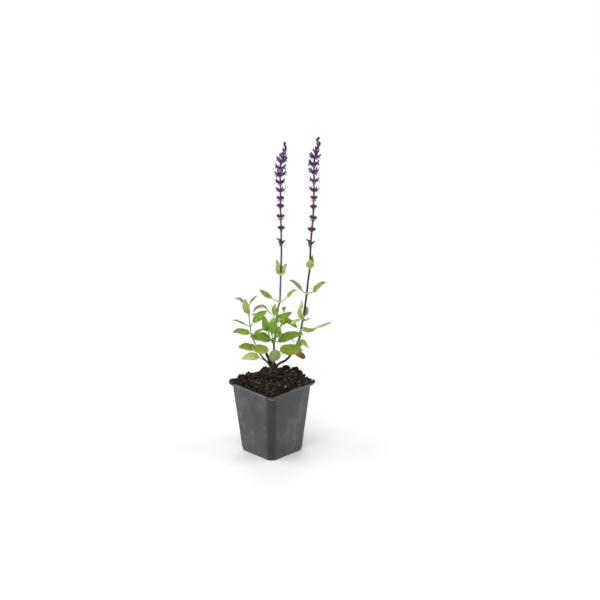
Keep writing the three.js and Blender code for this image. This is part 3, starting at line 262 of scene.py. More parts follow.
CROWN_LEAVES = {
    "leaf_yellow":
        blade("yellow", 11.5, (0.05, -0.85, 0.5), (-1.5, -3, 122.5), (-7.5, -4.5, 131), (-14, -8, 137),
              (-20.5, -12, 141), (-30, -17, 143), (-41, -20, 140.5), stalk=0.48, stalk_tone="#7d7c48"),
    "leaf_front":
        blade("grey", 17, (-0.05, 0.95, 0.3), (1.8, -3, 124.5), (1.6, -8, 128.5), (3, -13, 137),
              (5.5, -14.5, 144.5), (7, -13, 151.5), stalk=0.4, taper=0.55, stalk_tone="#5d5a34"),
}

# Spikes: each whorl's height on the stem, with what stands in it
SPIKES = {
    "spike_left": ("flower_stem_left", 11, [
        (294, "leafy", -35), (315, "calyx"), (331, "calyx"), (345, "calyx"), (356, "calyx"),
        (366.5, "fading"), (377.5, "fading"), (387.5, "open"), (396.5, "open"), (405.4, "open"),
        (411.4, "young"), (416.4, "bud"), (421.4, "bud"), (424, "last", 180), (427.4, "last", 0),
        (431.4, "last", 180),
    ]),
    "spike_right": ("flower_stem_right", 12, [
        (294, "leafy", -35), (314, "calyx"), (330.5, "calyx"), (345, "calyx"), (357.5, "calyx"),
        (368, "fading"), (381, "fading"), (392, "open"), (402.5, "open"), (412.5, "open"),
        (419.2, "young"), (425, "bud"), (429.8, "bud"), (433, "last", 0), (436.8, "last", 180),
        (439, "last", 0),
    ]),
}
LOOSE_BRACT = (331.5, 200, 38, 1.1)  # on the left spike: height, azimuth, degrees that it hangs, size
# How many flowers each kind of whorl holds, their size, the degrees that they are lifted, its bracts' size
WHORL_KINDS = {
    "leafy": (2, 0.85, 20, 0.8), "calyx": (6, 0.93, 14, 0.95), "fading": (6, 0.88, 8, 0.75),
    "open": (6, 0.96, 9, 0.75), "young": (5, 0.76, 16, 0.6), "bud": (4, 0.66, 12, 0.45),
    "last": (1, 0.36, 25, 0.2),
}


# ---------------------------------------------------------------- colours
def paint(code):
    """A colour written as #rrggbb, as the linear values that shaders take."""
    values = [int(code[i : i + 2], 16) / 255 for i in (1, 3, 5)]
    return tuple(v / 12.92 if v <= 0.04045 else ((v + 0.055) / 1.055) ** 2.4 for v in values) + (1.0,)


def painted(table):
    """A table of any depth with its colour codes turned into colours."""
    if isinstance(table, dict):
        return {name: painted(value) for name, value in table.items()}
    if isinstance(table, (tuple, list)):
        return tuple(painted(value) for value in table)
    return paint(table) if isinstance(table, str) else table


def mixed(a, b, share):
    share = min(1.0, max(0.0, share))
    return tuple(x + (y - x) * share for x, y in zip(a, b))


def smooth_step(low, high, value):
    t = min(1.0, max(0.0, (value - low) / (high - low)))
    return t * t * (3 - 2 * t)


# Leaf colourings: the blade, its darker patches, its margin and how far in that reaches, its tip and where
# that begins, its underside
LEAF_TONES = painted({
    "dark": ("#658a1e", "#4a7013", "#7a9a34", 0.9, "#5f8024", 0.9, "#8ca452"),
    "mid": ("#7a9f30", "#5f8828", "#8dab48", 0.88, "#738e3d", 0.85, "#99ac62"),
    "light": ("#90ae46", "#769a36", "#a3b85c", 0.85, "#859a48", 0.85, "#a6b674"),
    "fresh": ("#96b24a", "#80a03a", "#7c9644", 0.85, "#748c46", 0.84, "#a0b45e"),
    "grey": ("#87a14f", "#738e44", "#99ae64", 0.86, "#7b8c56", 0.84, "#9dae78"),
    "olive": ("#88962e", "#5a7624", "#a8ae48", 0.82, "#878f38", 0.85, "#a0a65a"),
    "gold": ("#71881a", "#547214", "#9c7c26", 0.86, "#768a1e", 0.95, "#9a963e"),
    "yellow": ("#c3c972", "#aebb60", "#c39c60", 0.86, "#c4865f", 0.9, "#c3be70"),
    "twisted": ("#9fb66a", "#8ba45c", "#b0c07e", 0.85, "#9ca486", 0.72, "#b0bc90"),
    "pale": ("#bfcf84", "#a9bd70", "#c8d394", 0.85, "#b0b092", 0.72, "#cad3a2"),
    "shaded": ("#759534", "#5a7f27", "#889e4a", 0.86, "#767e62", 0.8, "#90a265"),
    "withered": ("#a87a36", "#7a5232", "#42261d", 0.72, "#3c211c", 0.62, "#84583a"),
    "tipped": ("#86a440", "#6e9036", "#93a854", 0.85, "#6e725c", 0.66, "#96a668"),
    "dusky": ("#7a924c", "#687e44", "#889664", 0.8, "#72706a", 0.5, "#88946c"),
})
# Stem colourings: height, colour
STEM_TONES = painted({
    "flower_stem_left": [
        (118, "#33251d"), (148, "#43352a"), (156, "#6c7535"), (164, "#90ab50"), (204, "#8fae50"),
        (213, "#7f8a4a"), (219, "#77746c"), (236, "#726a70"), (248, "#665c64"), (256, "#443841"),
        (290, "#463c44"), (318, "#514350"), (360, "#665363"), (384, "#6f5474"), (412, "#6a2c68"),
        (422, "#5a1c50"), (432, "#4a1434"),
    ],
    "flower_stem_right": [
        (118, "#2a1e1a"), (145, "#33262a"), (162, "#35272c"), (172, "#54444c"), (184, "#80747b"),
        (194, "#55464f"), (204, "#382a33"), (228, "#44353e"), (250, "#4e4049"), (262, "#42353e"),
        (268, "#3a2f37"), (292, "#42373f"), (318, "#4e404c"), (360, "#645161"), (384, "#6f5474"),
        (416, "#6a2c68"), (428, "#581c52"), (440, "#441430"),
    ],
    "shoot_left_stem": [
        (118, "#3a2b21"), (138, "#4c4030"), (150, "#737f3e"), (166, "#879a4a"), (186, "#7b7f60"),
        (197, "#746a78"), (213, "#776c74"),
    ],
    "shoot_front_stem": [(118, "#38291f"), (146, "#4a3c2c"), (157, "#7b8f42"), (201, "#98b455")],
    "shoot_back_stem": [(118, "#38291f"), (142, "#4a3c2c"), (154, "#7b8f42"), (187, "#94b052")],
    "shoot_rear_stem": [(118, "#38291f"), (140, "#4a3c2c"), (150, "#7b8f42"), (171, "#8caa50")],
})


def tone_at(ramp, height):
    for (low, first), (high, second) in zip(ramp, ramp[1:]):
        if height <= high:
            return mixed(first, second, (height - low) / (high - low))
    return ramp[-1][1]


# ---------------------------------------------------------------- finishes
class Nodes:
    """A node tree whose nodes are made, set and fed with short calls."""

    def __init__(self, tree):
        self.tree = tree
        tree.nodes.clear()

    def node(self, kind, feeds=None, **settings):
        made = self.tree.nodes.new(kind)
        for key, value in settings.items():
            setattr(made, key, value)
        for key, value in (feeds or {}).items():
            self.feed(made.inputs[key], value)
        return made

    def feed(self, socket, value):
        if isinstance(value, bpy.types.NodeSocket):
            self.tree.links.new(value, socket)
        else:
            socket.default_value = value


NOISE_SPAN = (0.3, 0.7)  # where nearly all values of a noise pattern lie


class Finish(Nodes):
    """A material of one shader, whose patterns follow the piece's own coordinates. Colours may be codes."""

    def __init__(self, name):
        self.material = bpy.data.materials.new(name)
        self.material.use_nodes = True
        super().__init__(self.material.node_tree)
        self.shader = self.node("ShaderNodeBsdfPrincipled")
        self.node("ShaderNodeOutputMaterial", {0: self.shader.outputs[0]})

    def attribute(self, name, output="Color"):
        return self.node("ShaderNodeAttribute", attribute_name=name).outputs[output]

    def place(self, tall=1):
        """The piece's own coordinates, with the heights multiplied: less than 1 draws a pattern out."""
        own = self.node("ShaderNodeTexCoord").outputs["Object"]
        return self.node("ShaderNodeMapping", {"Vector": own, "Scale": (1, 1, tall)}).outputs["Vector"]

    def apart(self, vector):
        return self.node("ShaderNodeSeparateXYZ", {0: vector}).outputs

    def noise(self, scale, detail=3.0, roughness=0.5, tall=1):
        feeds = {"Vector": self.place(tall), "Scale": scale, "Detail": detail, "Roughness": roughness}
        return self.node("ShaderNodeTexNoise", feeds).outputs["Fac"]

    def cells(self, scale, tall=1):
        feeds = {"Vector": self.place(tall), "Scale": scale}
        return self.node("ShaderNodeTexVoronoi", feeds).outputs["Distance"]

    def sum(self, operation, *values):
        return self.node("ShaderNodeMath", dict(enumerate(values)), operation=operation).outputs[0]

    def fit(self, value, low, high, to_low=0.0, to_high=1.0, soft=False):
        """The value carried from one span to another, softly at the ends if wanted."""
        names = ("Value", "From Min", "From Max", "To Min", "To Max")
        feeds = dict(zip(names, (value, low, high, to_low, to_high)))
        kind = "SMOOTHSTEP" if soft else "LINEAR"
        return self.node("ShaderNodeMapRange", feeds, interpolation_type=kind).outputs[0]

    def blend(self, share, first, second, kind="MIX"):
        made = self.node("ShaderNodeMix", {"Factor": share}, data_type="RGBA", blend_type=kind)
        for socket, colour in zip((s for s in made.inputs if s.type == "RGBA"), (first, second)):
            self.feed(socket, paint(colour) if isinstance(colour, str) else colour)
        return next(s for s in made.outputs if s.type == "RGBA")

    def tinge(self, base, colour, pattern, low, high, weight, soft=False):
        """The base, blended towards a colour where a pattern passes from low to high."""
        return self.blend(self.fit(pattern, low, high, 0, weight, soft), base, colour)

    def ramp(self, value, stops, sharp=False):
        made = self.node("ShaderNodeValToRGB", {"Fac": value})
        made.color_ramp.interpolation = "CONSTANT" if sharp else "LINEAR"
        elements = made.color_ramp.elements
        while len(elements) < len(stops):
            elements.new(0.5)
        for element, (position, code) in zip(elements, stops):
            element.position, element.color = position, paint(code)
        return made.outputs["Color"]

    def coat(self, colour, rough, relief, span=NOISE_SPAN, **more):
        """Ends the material: its colour, a pattern over whose span the roughness goes from low to high, the
        height, distance and strength of its relief, and any other values of the shader."""
        pattern, low, high = rough
        values = {"Base_Color": colour, "Roughness": self.fit(pattern, *span, low, high), **more}
        if relief:
            feeds = dict(zip(("Height", "Distance", "Strength"), relief))
            values["Normal"] = self.node("ShaderNodeBump", feeds).outputs["Normal"]
        for key, value in values.items():
            self.feed(self.shader.inputs[key.replace("_", " ")], value)
        return self.material


def pot_plastic():
    """Recycled nursery plastic: cloudy grey, streaked down the walls, scuffed and dusty."""
    f = Finish("recycled_pot_plastic")
    down = f.noise(85, 3, 0.55, tall=0.14)
    cloud = f.noise(34, 4, 0.6, tall=0.62)
    haze = f.noise(62, 2, 0.5, tall=0.8)
    grain = f.noise(2600, 2, 0.6)
    scuffs = f.noise(420, 5, 0.7, tall=0.22)
    x, y, z = f.apart(f.place())
    body = f.ramp(f.fit(z, 0.0, 0.1), [
        (0, "#33322d"), (0.1, "#393938"), (0.55, "#3c3d3d"), (0.9, "#404243"), (1, "#454647"),
    ])
    # Painted shade: the rounded corners are darkened, as they fall in shade between the side lights
    across = [f.sum("ABSOLUTE", v) for v in (x, y)]
    cornered = f.sum("DIVIDE", f.sum("MINIMUM", *across), f.sum("MAXIMUM", *across))
    streaked = f.tinge(body, "#55575a", down, 0.38, 0.66, 0.4, True)
    hazy = f.tinge(streaked, "#585b5f", haze, 0.44, 0.66, 0.42, True)
    clouded = f.tinge(hazy, "#262a2f", cloud, 0.45, 0.62, 0.7, True)
    # Two patches of painted shadow on the walls, with uneven edges: place, reach, weight, in metres
    flat = 0.8
    painted_shadows = (((0.041, -0.012, 0.076), 0.044, 0.8), ((0.006, -0.041, 0.066), 0.034, 0.5))
    for (px, py, pz), reach, weight in painted_shadows:
        feeds = {0: f.place(flat), 1: (px, py, pz * flat)}
        gap = f.node("ShaderNodeVectorMath", feeds, operation="DISTANCE").outputs["Value"]
        uneven = f.sum("ADD", gap, f.fit(haze, *NOISE_SPAN, -0.009, 0.009))
        # Painted shadow: the walls blend towards dark grey near each patch
        clouded = f.blend(f.fit(uneven, 0.014, reach, weight, 0, True), clouded, "#24282d")
    # Painted shade: the walls blend towards near black on the corners
    dark = f.blend(f.sum("MULTIPLY", f.fit(cornered, 0.6, 0.86, 0, 1, True), 0.8), clouded, "#17181a")
    dusty = f.tinge(dark, "#5c5a54", scuffs, 0.6, 0.78, 0.3, True)
    specks = f.fit(f.cells(330), 0.09, 0.05, 0, 1, True)
    rare = f.sum("MULTIPLY", specks, f.fit(f.noise(90, 1), 0.62, 0.66, 0, 0.8))
    return f.coat(
        f.blend(rare, dusty, "#3a3026"), (f.sum("ADD", down, scuffs), 0.3, 0.52),
        (f.sum("MULTIPLY_ADD", down, 6.0, grain), 0.00006, 0.7), span=(0.7, 1.35), Specular_IOR_Level=0.5,
    )


def potting_mix():
    """Dark peat and bark: each crumb has its own brown, and a few are reddish, olive or straw-coloured."""
    f = Finish("potting_mix")
    own = f.ramp(f.attribute("grain", "Fac"), [
        (0, "#090604"), (0.2, "#110b08"), (0.38, "#1b130d"), (0.55, "#281c15"), (0.7, "#382519"),
        (0.81, "#41372c"), (0.9, "#50483a"), (0.96, "#645d4f"), (0.99, "#8a8474"),
    ], sharp=True)
    # Olive and grey-brown by patches, and redder coir where the mix dries out in the two side corners
    hue = f.tinge("#f4dcc8", "#ecf0c2", f.noise(34, 2, 0.5), 0.42, 0.56, 1, True)
    x, y, _ = f.apart(f.place())
    sideways = f.sum("ABSOLUTE", f.sum("ADD", x, y))
    own = f.tinge(f.blend(1.0, own, hue, "MULTIPLY"), "#5e3c2c", sideways, 0.05, 0.078, 0.34, True)
    fine = f.noise(900, 4, 0.65)
    mottled = f.tinge(own, f.blend(0.5, own, "#0c0806"), fine, 0.35, 0.7, 0.7)
    warm = f.tinge(mottled, "#381e13", f.noise(160, 3, 0.6), 0.52, 0.7, 0.35)
    flecks = f.fit(f.cells(1500), 0.13, 0.06, 0, 0.75)
    rare = f.sum("MULTIPLY", flecks, f.fit(f.noise(500, 1), 0.58, 0.66))
    return f.coat(
        f.blend(rare, warm, "#8a6f46"), (fine, 0.72, 0.98),
        (f.sum("ADD", fine, f.cells(1300)), 0.0004, 0.8), Specular_IOR_Level=0.25,
    )


def fibre_finish():
    f = Finish("coir_fibre")
    along = f.noise(1400, 3, 0.6)
    colour = f.tinge(f.attribute("tint"), "#4c3423", along, 0.4, 0.65, 0.45)
    return f.coat(colour, (along, 0.7, 0.9), (along, 0.00008, 0.6))


def bark_finish():
    """Old woody crown: brown bark, flaked and cracked lengthwise."""
    f = Finish("crown_bark")
    cracks, flakes = f.noise(520, 5, 0.68, tall=0.22), f.cells(420, tall=0.4)
    light = f.tinge(f.attribute("tint"), "#5e4a34", cracks, 0.46, 0.68, 0.5)
    return f.coat(
        f.tinge(light, "#1e1410", flakes, 0.5, 0.2, 0.55), (cracks, 0.72, 0.95),
        (f.sum("ADD", cracks, flakes), 0.0005, 0.8), Specular_IOR_Level=0.3,
    )


def stem_finish():
    """Square herbaceous stem: lengthwise streaks over a tint that changes with height."""
    f = Finish("square_stem")
    streak, spots = f.noise(1700, 3, 0.6, tall=0.08), f.noise(700, 2, 0.5, tall=0.5)
    own = f.attribute("tint")
    darker, lighter = f.blend(1.0, own, "#b9a8b4", "MULTIPLY"), f.blend(0.05, own, "#c3c9a8")
    lined = f.tinge(darker, lighter, streak, 0.38, 0.62, 1)
    return f.coat(
        f.tinge(lined, "#5a3b4c", spots, 0.55, 0.72, 0.2), (streak, 0.46, 0.66), (streak, 0.00012, 0.6),
        Sheen_Weight=0.05, Sheen_Roughness=0.5, Specular_IOR_Level=0.3,
    )


def leaf_finish():
    """Salvia leaf: a pale midrib and side veins, quilted green between them, in a soft, finely wrinkled skin.
    The map holds the number of side veins passed, and the distance from the midrib in centimetres."""
    f = Finish("wrinkled_leaf")
    passed, across, _ = f.apart(f.node("ShaderNodeUVMap", uv_map="veins").outputs[0])
    away = f.sum("ABSOLUTE", across)
    # A whole number of veins more keeps the count above zero
    counted = f.sum("ADD", f.sum("ADD", passed, 64.0), f.fit(f.noise(260, 2), *NOISE_SPAN, -0.09, 0.09))
    side_vein = f.fit(f.sum("PINGPONG", counted, 0.5), 0.02, 0.1, 1, 0, True)
    side_vein = f.sum("MULTIPLY", side_vein, f.fit(away, 0.0, 0.75, 0.85, 0.45))
    veins = f.sum("MAXIMUM", side_vein, f.fit(away, 0.022, 0.05, 1, 0, True))
    own = f.attribute("tint")
    blotch, fine = f.noise(330, 3, 0.6), f.cells(1050)
    shaded = f.tinge(own, f.blend(1.0, own, "#b8c4a0", "MULTIPLY"), blotch, 0.38, 0.66, 0.5)
    lit = f.blend(f.fit(fine, 0.1, 0.6, 0.28, 0), shaded, f.blend(0.25, own, "#c2d070"))
    relief = f.sum("SUBTRACT", f.sum("MULTIPLY", fine, -0.5), f.sum("MULTIPLY", veins, 0.8))
    return f.coat(
        f.blend(f.sum("MULTIPLY", veins, 0.62), lit, f.blend(0.4, own, "#cddb84")), (blotch, 0.5, 0.7),
        (relief, 0.00035, 0.75), Sheen_Weight=0.04, Sheen_Roughness=0.45, Specular_IOR_Level=0.26,
    )


def petal_finish(name, pale, dark, gloss):
    """Soft plant skin of the flower parts: own tint, paler veins lengthwise, darker in mottled patches."""
    f = Finish(name)
    base = f.blend(1.0, f.attribute("tint"), f.attribute("petal"), "MULTIPLY")
    mottle, veined = f.noise(900, 3, 0.6), f.noise(2600, 2, 0.6, tall=0.3)
    tinted = f.tinge(base, f.blend(0.5, base, dark), mottle, 0.42, 0.68, 0.4)
    return f.coat(
        f.tinge(tinted, f.blend(0.5, base, pale), veined, 0.55, 0.75, 0.3), (mottle, gloss, gloss + 0.2),
        (veined, 0.0001, 0.6), Sheen_Weight=0.25, Sheen_Roughness=0.4,
    )


def hair_finish():
    f = Finish("stem_hair")
    colour = f.blend(f.noise(300, 2), "#aeb09c", "#8f8b8c")
    return f.coat(colour, (f.noise(900, 2), 0.5, 0.7), (f.noise(3000, 2), 0.00002, 0.5))


# ---------------------------------------------------------------- lines and skins
class Line:
    """A smooth centripetal curve through its points, by share of its length."""

    def __init__(self, points, per_span=20):
        points = [Vector(p) for p in points]
        ends = [2 * points[0] - points[1], *points, 2 * points[-1] - points[-2]]
        self.points = [points[0]]
        for p0, p1, p2, p3 in zip(ends, ends[1:], ends[2:], ends[3:]):
            d0, d1, d2 = (max((b - a).length, 1e-6) ** 0.5 for a, b in ((p0, p1), (p1, p2), (p2, p3)))
            leave = ((p1 - p0) / d0 - (p2 - p0) / (d0 + d1) + (p2 - p1) / d1) * d1
            arrive = ((p2 - p1) / d1 - (p3 - p1) / (d1 + d2) + (p3 - p2) / d2) * d1
            for i in range(1, per_span + 1):
                t = i / per_span
                self.points.append(
                    p1 * (2 * t**3 - 3 * t**2 + 1) + leave * (t**3 - 2 * t**2 + t)
                    + p2 * (3 * t**2 - 2 * t**3) + arrive * (t**3 - t**2)
                )
        self.reach = [0.0]
        for a, b in zip(self.points, self.points[1:]):
            self.reach.append(self.reach[-1] + (b - a).length)
        self.length = self.reach[-1]

    def span(self, share):
        target = min(1.0, max(0.0, share)) * self.length
        for i in range(1, len(self.reach)):
            if target <= self.reach[i] or i == len(self.reach) - 1:
                step = max(self.reach[i] - self.reach[i - 1], 1e-9)
                return i, min(1.0, max(0.0, (target - self.reach[i - 1]) / step))

    def at(self, share):
        i, t = self.span(share)
        return self.points[i - 1].lerp(self.points[i], t)

    def along(self, share):
        return (self.at(share + 0.012) - self.at(share - 0.012)).normalized()

    def share_at_height(self, height):
        for i in range(1, len(self.points)):
            low, high = self.points[i - 1].z, self.points[i].z
            if low <= height <= high:
                t = (height - low) / max(high - low, 1e-9)
                return (self.reach[i - 1] + t * (self.reach[i] - self.reach[i - 1])) / self.length
        return 1.0


def carried_frames(line, shares):
    """A side direction at each share of a line, carried along it without spin."""
    first = line.along(shares[0])
    least = min(range(3), key=lambda k: abs(first[k]))
    axis = Vector((0, 0, 0))
    axis[least] = 1
    side = first.cross(first.cross(axis).normalized()).normalized()
    frames, before = [], first
    for share in shares:
        now = line.along(share)
        side = before.rotation_difference(now) @ side
        side = (side - now * side.dot(now)).normalized()
        frames.append((line.at(share), now, side, now.cross(side)))
        before = now
    return frames


class Skin:
    """Points, faces, tints and map places of one piece, in millimetres."""

    def __init__(self):
        self.points, self.faces, self.tints, self.places = [], [], [], []

    def add(self, point, tint=(1, 1, 1, 1), place=(0.5, 0.0)):
        self.points.append(Vector(point))
        self.tints.append(tint)
        self.places.append(place)
        return len(self.points) - 1

    def join_rings(self, rings, caps=(True, True)):
        """Faces between rings that turn anticlockwise seen from the end that they move to."""
        for low, high in zip(rings, rings[1:]):
            n = len(low)
            for i in range(n):
                j = (i + 1) % n
                self.faces.append((low[i], low[j], high[j], high[i]))
        for wanted, ring in zip(caps, (list(reversed(rings[0])), rings[-1])):
            if wanted:
                middle = sum((self.points[i] for i in ring), Vector()) / len(ring)
                centre = self.add(middle, self.tints[ring[0]], self.places[ring[0]])
                self.faces.extend((a, b, centre) for a, b in zip(ring, ring[1:] + ring[:1]))

    def tube(self, frames, sizes, section, tints):
        """A tube of one section, sized across and up at each frame."""
        rings = []
        for (point, _, side, normal), (wide, high), tint in zip(frames, sizes, tints):
            rings.append([self.add(point + side * a * wide + normal * b * high, tint) for a, b in section])
        self.join_rings(rings)


def circle(sides):
    return [(math.cos(2 * math.pi * k / sides), math.sin(2 * math.pi * k / sides)) for k in range(sides)]


def linked(name, data):
    """A new object of the scene with the mesh, curve, lamp or camera that it's given."""
    obj = bpy.data.objects.new(name, data)
    bpy.context.scene.collection.objects.link(obj)
    return obj


def make_object(name, skin, in_pot_frame=False):
    """An object of a skin, whose points are in the plant's frame, unless they're in the pot's."""
    mesh = bpy.data.meshes.new(name)
    points = skin.points if in_pot_frame else [TURN @ p for p in skin.points]
    mesh.from_pydata([tuple(p * MM) for p in points], [], skin.faces)
    tint = mesh.attributes.new("tint", "FLOAT_COLOR", "POINT")
    tint.data.foreach_set("color", [v for c in skin.tints for v in c])
    veins = mesh.uv_layers.new(name="veins")
    corners = [0] * len(mesh.loops)
    mesh.loops.foreach_get("vertex_index", corners)
    veins.data.foreach_set("uv", [v for c in corners for v in skin.places[c]])
    mesh.shade_smooth()
    return linked(name, mesh)


def settle(obj, finish, slot, *nodes):
    """Gives a finished piece its material and its place in the part."""
    if finish is not None:
        obj.data.materials.clear()
        obj.data.materials.append(finish)
    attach(obj, "root")
    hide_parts(*nodes)
    return obj


def finished(obj, name, keep=False):
    """The evaluated result of an object as a plain object of its own; the first one goes, or stays without
    its modifiers."""
    bpy.context.view_layer.update()
    seen = obj.evaluated_get(bpy.context.evaluated_depsgraph_get())
    mesh = bpy.data.meshes.new_from_object(seen)
    mesh.name = name
    if keep:
        obj.modifiers.clear()
    else:
        bpy.data.objects.remove(obj)
    return linked(name, mesh)


def draw_from(seed):
    """A repeatable random draw between 0 and 1, the same as in the solids."""
    state = seed
    while True:
        state = (state * 1664525 + 1013904223) % 4294967296
        yield state / 4294967296


# ---------------------------------------------------------------- geometry node trees
class Tree(Nodes):
    """A geometry node tree with named inputs, which ends in Realize Instances and Set Material."""

    def __init__(self, name, **inputs):
        """The inputs are given by the kind of their sockets, as in Float=("Density", "Length")."""
        super().__init__(bpy.data.node_groups.new(name, "GeometryNodeTree"))
        named = [(label, kind) for kind, labels in inputs.items() for label in labels]
        self.ids = {}
        for label, kind in [("Geometry", "Geometry"), *named, ("Finish", "Material")]:
            self.ids[label] = self.socket(label, "INPUT", kind).identifier
        self.socket("Geometry", "OUTPUT", "Geometry")
        self.start = self.node("NodeGroupInput")

    def socket(self, label, way, kind):
        return self.tree.interface.new_socket(name=label, in_out=way, socket_type="NodeSocket" + kind)

    def given(self, label):
        return self.start.outputs[label]

    def named(self, label, kind):
        made = self.node("GeometryNodeInputNamedAttribute", {"Name": label}, data_type=kind)
        return made.outputs["Attribute"]

    def random(self, kind, low, high, seed=0):
        made = self.node("FunctionNodeRandomValue", {"Seed": seed}, data_type=kind)
        sockets = {"FLOAT": "VALUE", "INT": "INT", "FLOAT_VECTOR": "VECTOR"}[kind]
        ends = [s for s in made.inputs if s.type == sockets and s.name in ("Min", "Max")]
        self.feed(ends[0], low)
        self.feed(ends[1], high)
        return next(s for s in made.outputs if s.type == sockets)

    def strewn(self):
        """Points strewn over the object's surface, by the inputs Density and Seed."""
        return self.node("GeometryNodeDistributePointsOnFaces", {
            "Mesh": self.given("Geometry"), "Density": self.given("Density"), "Seed": self.given("Seed"),
        }).outputs

    def finish(self, geometry, smooth=True):
        for kind, more in (
            ("RealizeInstances", {}), ("SetShadeSmooth", {"Shade Smooth": smooth}),
            ("SetMaterial", {"Material": self.given("Finish")}),
        ):
            geometry = self.node("GeometryNode" + kind, {"Geometry": geometry, **more}).outputs[0]
        self.node("NodeGroupOutput", {0: geometry})

    def run(self, obj, name, keep=False, **values):
        modifier = obj.modifiers.new(name, "NODES")
        modifier.node_group = self.tree
        for label, value in values.items():
            modifier[self.ids[label]] = value
        return finished(obj, name, keep)


def shape_names(count):
    return [f"Shape_{i}" for i in range(count)]


def placing_tree(name, shapes):
    """Sets one of several shapes on each point, by the point's own kind, size and turn."""
    tree = Tree(name, Object=shape_names(shapes))
    turn = tree.node("FunctionNodeEulerToRotation", {"Euler": tree.named("turn", "FLOAT_VECTOR")}).outputs[0]
    size, kind = tree.named("size", "FLOAT"), tree.named("kind", "INT")
    joined = tree.node("GeometryNodeJoinGeometry")
    for i, label in enumerate(shape_names(shapes)):
        shape = tree.node("GeometryNodeObjectInfo", {"Object": tree.given(label)})
        same = tree.node("FunctionNodeCompare", data_type="INT", operation="EQUAL")
        for socket, value in zip((s for s in same.inputs if s.type == "INT"), (kind, i)):
            tree.feed(socket, value)
        placed = tree.node("GeometryNodeInstanceOnPoints", {
            "Points": tree.given("Geometry"), "Selection": same.outputs[0],
            "Instance": shape.outputs["Geometry"], "Rotation": turn, "Scale": size,
        })
        tree.feed(joined.inputs[0], placed.outputs[0])
    tree.finish(joined.outputs[0])
    return tree


def crumbling_tree(shapes):
    """Strews crumbs of several shapes over a surface, each with its own size, turn and grain."""
    spans = ("Density", "Smallest", "Largest")
    tree = Tree("strew_crumbs", Object=shape_names(shapes), Float=spans, Int=("Seed",))
    joined = tree.node("GeometryNodeJoinGeometry")
    for label in reversed(shape_names(shapes)):
        shape = tree.node("GeometryNodeObjectInfo", {"Object": tree.given(label), "As Instance": True})
        tree.feed(joined.inputs[0], shape.outputs["Geometry"])
    # Most crumbs are small: the draw is raised to a power before it spans the sizes
    power = {0: tree.random("FLOAT", 0.0, 1.0, 3), 1: 2.2}
    drawn = tree.node("ShaderNodeMath", power, operation="POWER")
    size = tree.node("ShaderNodeMapRange", {
        "Value": drawn.outputs[0], "To Min": tree.given("Smallest"), "To Max": tree.given("Largest"),
    })
    turn = tree.random("FLOAT_VECTOR", (0, 0, 0), (FULL_TURN,) * 3, 5)
    placed = tree.node("GeometryNodeInstanceOnPoints", {
        "Points": tree.strewn()["Points"], "Instance": joined.outputs[0], "Pick Instance": True,
        "Instance Index": tree.random("INT", 0, shapes - 1, 7), "Scale": size.outputs[0],
        "Rotation": tree.node("FunctionNodeEulerToRotation", {"Euler": turn}).outputs[0],
    })
    stored = tree.node("GeometryNodeStoreNamedAttribute", {
        "Geometry": placed.outputs[0], "Name": "grain", "Value": tree.random("FLOAT", 0.0, 1.0, 11),
    }, data_type="FLOAT", domain="INSTANCE")
    tree.finish(stored.outputs[0], smooth=False)
    return tree


def hair_tree():
    """Fine short hairs standing on a surface."""
    tree = Tree("stand_hairs", Float=("Density", "Length", "Thickness"), Int=("Seed",))
    strewn = tree.strewn()
    hair = tree.node("GeometryNodeMeshCone", {
        "Vertices": 3, "Radius Top": 0.0, "Radius Bottom": tree.given("Thickness"),
        "Depth": tree.given("Length"),
    }, fill_type="NGON")
    placed = tree.node("GeometryNodeInstanceOnPoints", {
        "Points": strewn["Points"], "Instance": hair.outputs["Mesh"], "Rotation": strewn["Rotation"],
        "Scale": tree.random("FLOAT", 0.5, 1.2),
    })
    tree.finish(placed.outputs[0], smooth=False)
    return tree


def fibre_tree():
    """Gives curves a round section whose thickness is each point's radius."""
    tree = Tree("round_fibres", Float=("Thickness",))
    ring = tree.node("GeometryNodeCurvePrimitiveCircle", {"Resolution": 5, "Radius": tree.given("Thickness")})
    tubes = tree.node("GeometryNodeCurveToMesh", {
        "Curve": tree.given("Geometry"), "Profile Curve": ring.outputs["Curve"], "Fill Caps": True,
        "Scale": tree.node("GeometryNodeInputRadius").outputs[0],
    })
    tree.finish(tubes.outputs[0])
    return tree


def point_cloud(name, spots):
    """A mesh of loose points that carry what the placing tree reads. The spots are (place, turn, size, kind,
    tint), in the plant's frame and in millimetres."""
    mesh = bpy.data.meshes.new(name)
    mesh.from_pydata([tuple((TURN @ Vector(place)) * MM) for place, *_ in spots], [], [])
    turned = math.radians(PLANT_TURN)
    columns = {
        ("turn", "FLOAT_VECTOR", "vector"): [v for _, (x, y, z), *_ in spots for v in (x, y, z + turned)],
        ("size", "FLOAT", "value"): [size for _, _, size, _, _ in spots],
        ("kind", "INT", "value"): [kind for _, _, _, kind, _ in spots],
        ("tint", "FLOAT_COLOR", "color"): [v for *_, tint in spots for v in tint],
    }
    for (label, kind, field), values in columns.items():
        mesh.attributes.new(label, kind, "POINT").data.foreach_set(field, values)
    return linked(name, mesh)


# ---------------------------------------------------------------- camera, floor and light
CAMERA = {"lens": 86.28, "sensor": 36, "place": (1.3388, -1.2837, 0.7992), "tilt": 72.6, "turn": 45}


def photographer():
    data = bpy.data.cameras.new("camera")
    data.lens, data.sensor_width = CAMERA["lens"], CAMERA["sensor"]
    camera = linked("camera", data)
    camera.location = CAMERA["place"]
    camera.rotation_euler = (math.radians(CAMERA["tilt"]), 0, math.radians(CAMERA["turn"]))
    bpy.context.scene.camera = camera


def soft_box(name, place, size, power):
    """A light panel that is aimed at the middle of the plant and isn't seen itself."""
    data = bpy.data.lights.new(name, "AREA")
    data.shape, data.size, data.size_y = "RECTANGLE", *size
    data.energy = power
    light = linked(name, data)
    light.location = place
    light.rotation_euler = (Vector((0, 0, 0.2)) - Vector(place)).to_track_quat("-Z", "Y").to_euler()
    light.visible_camera = False


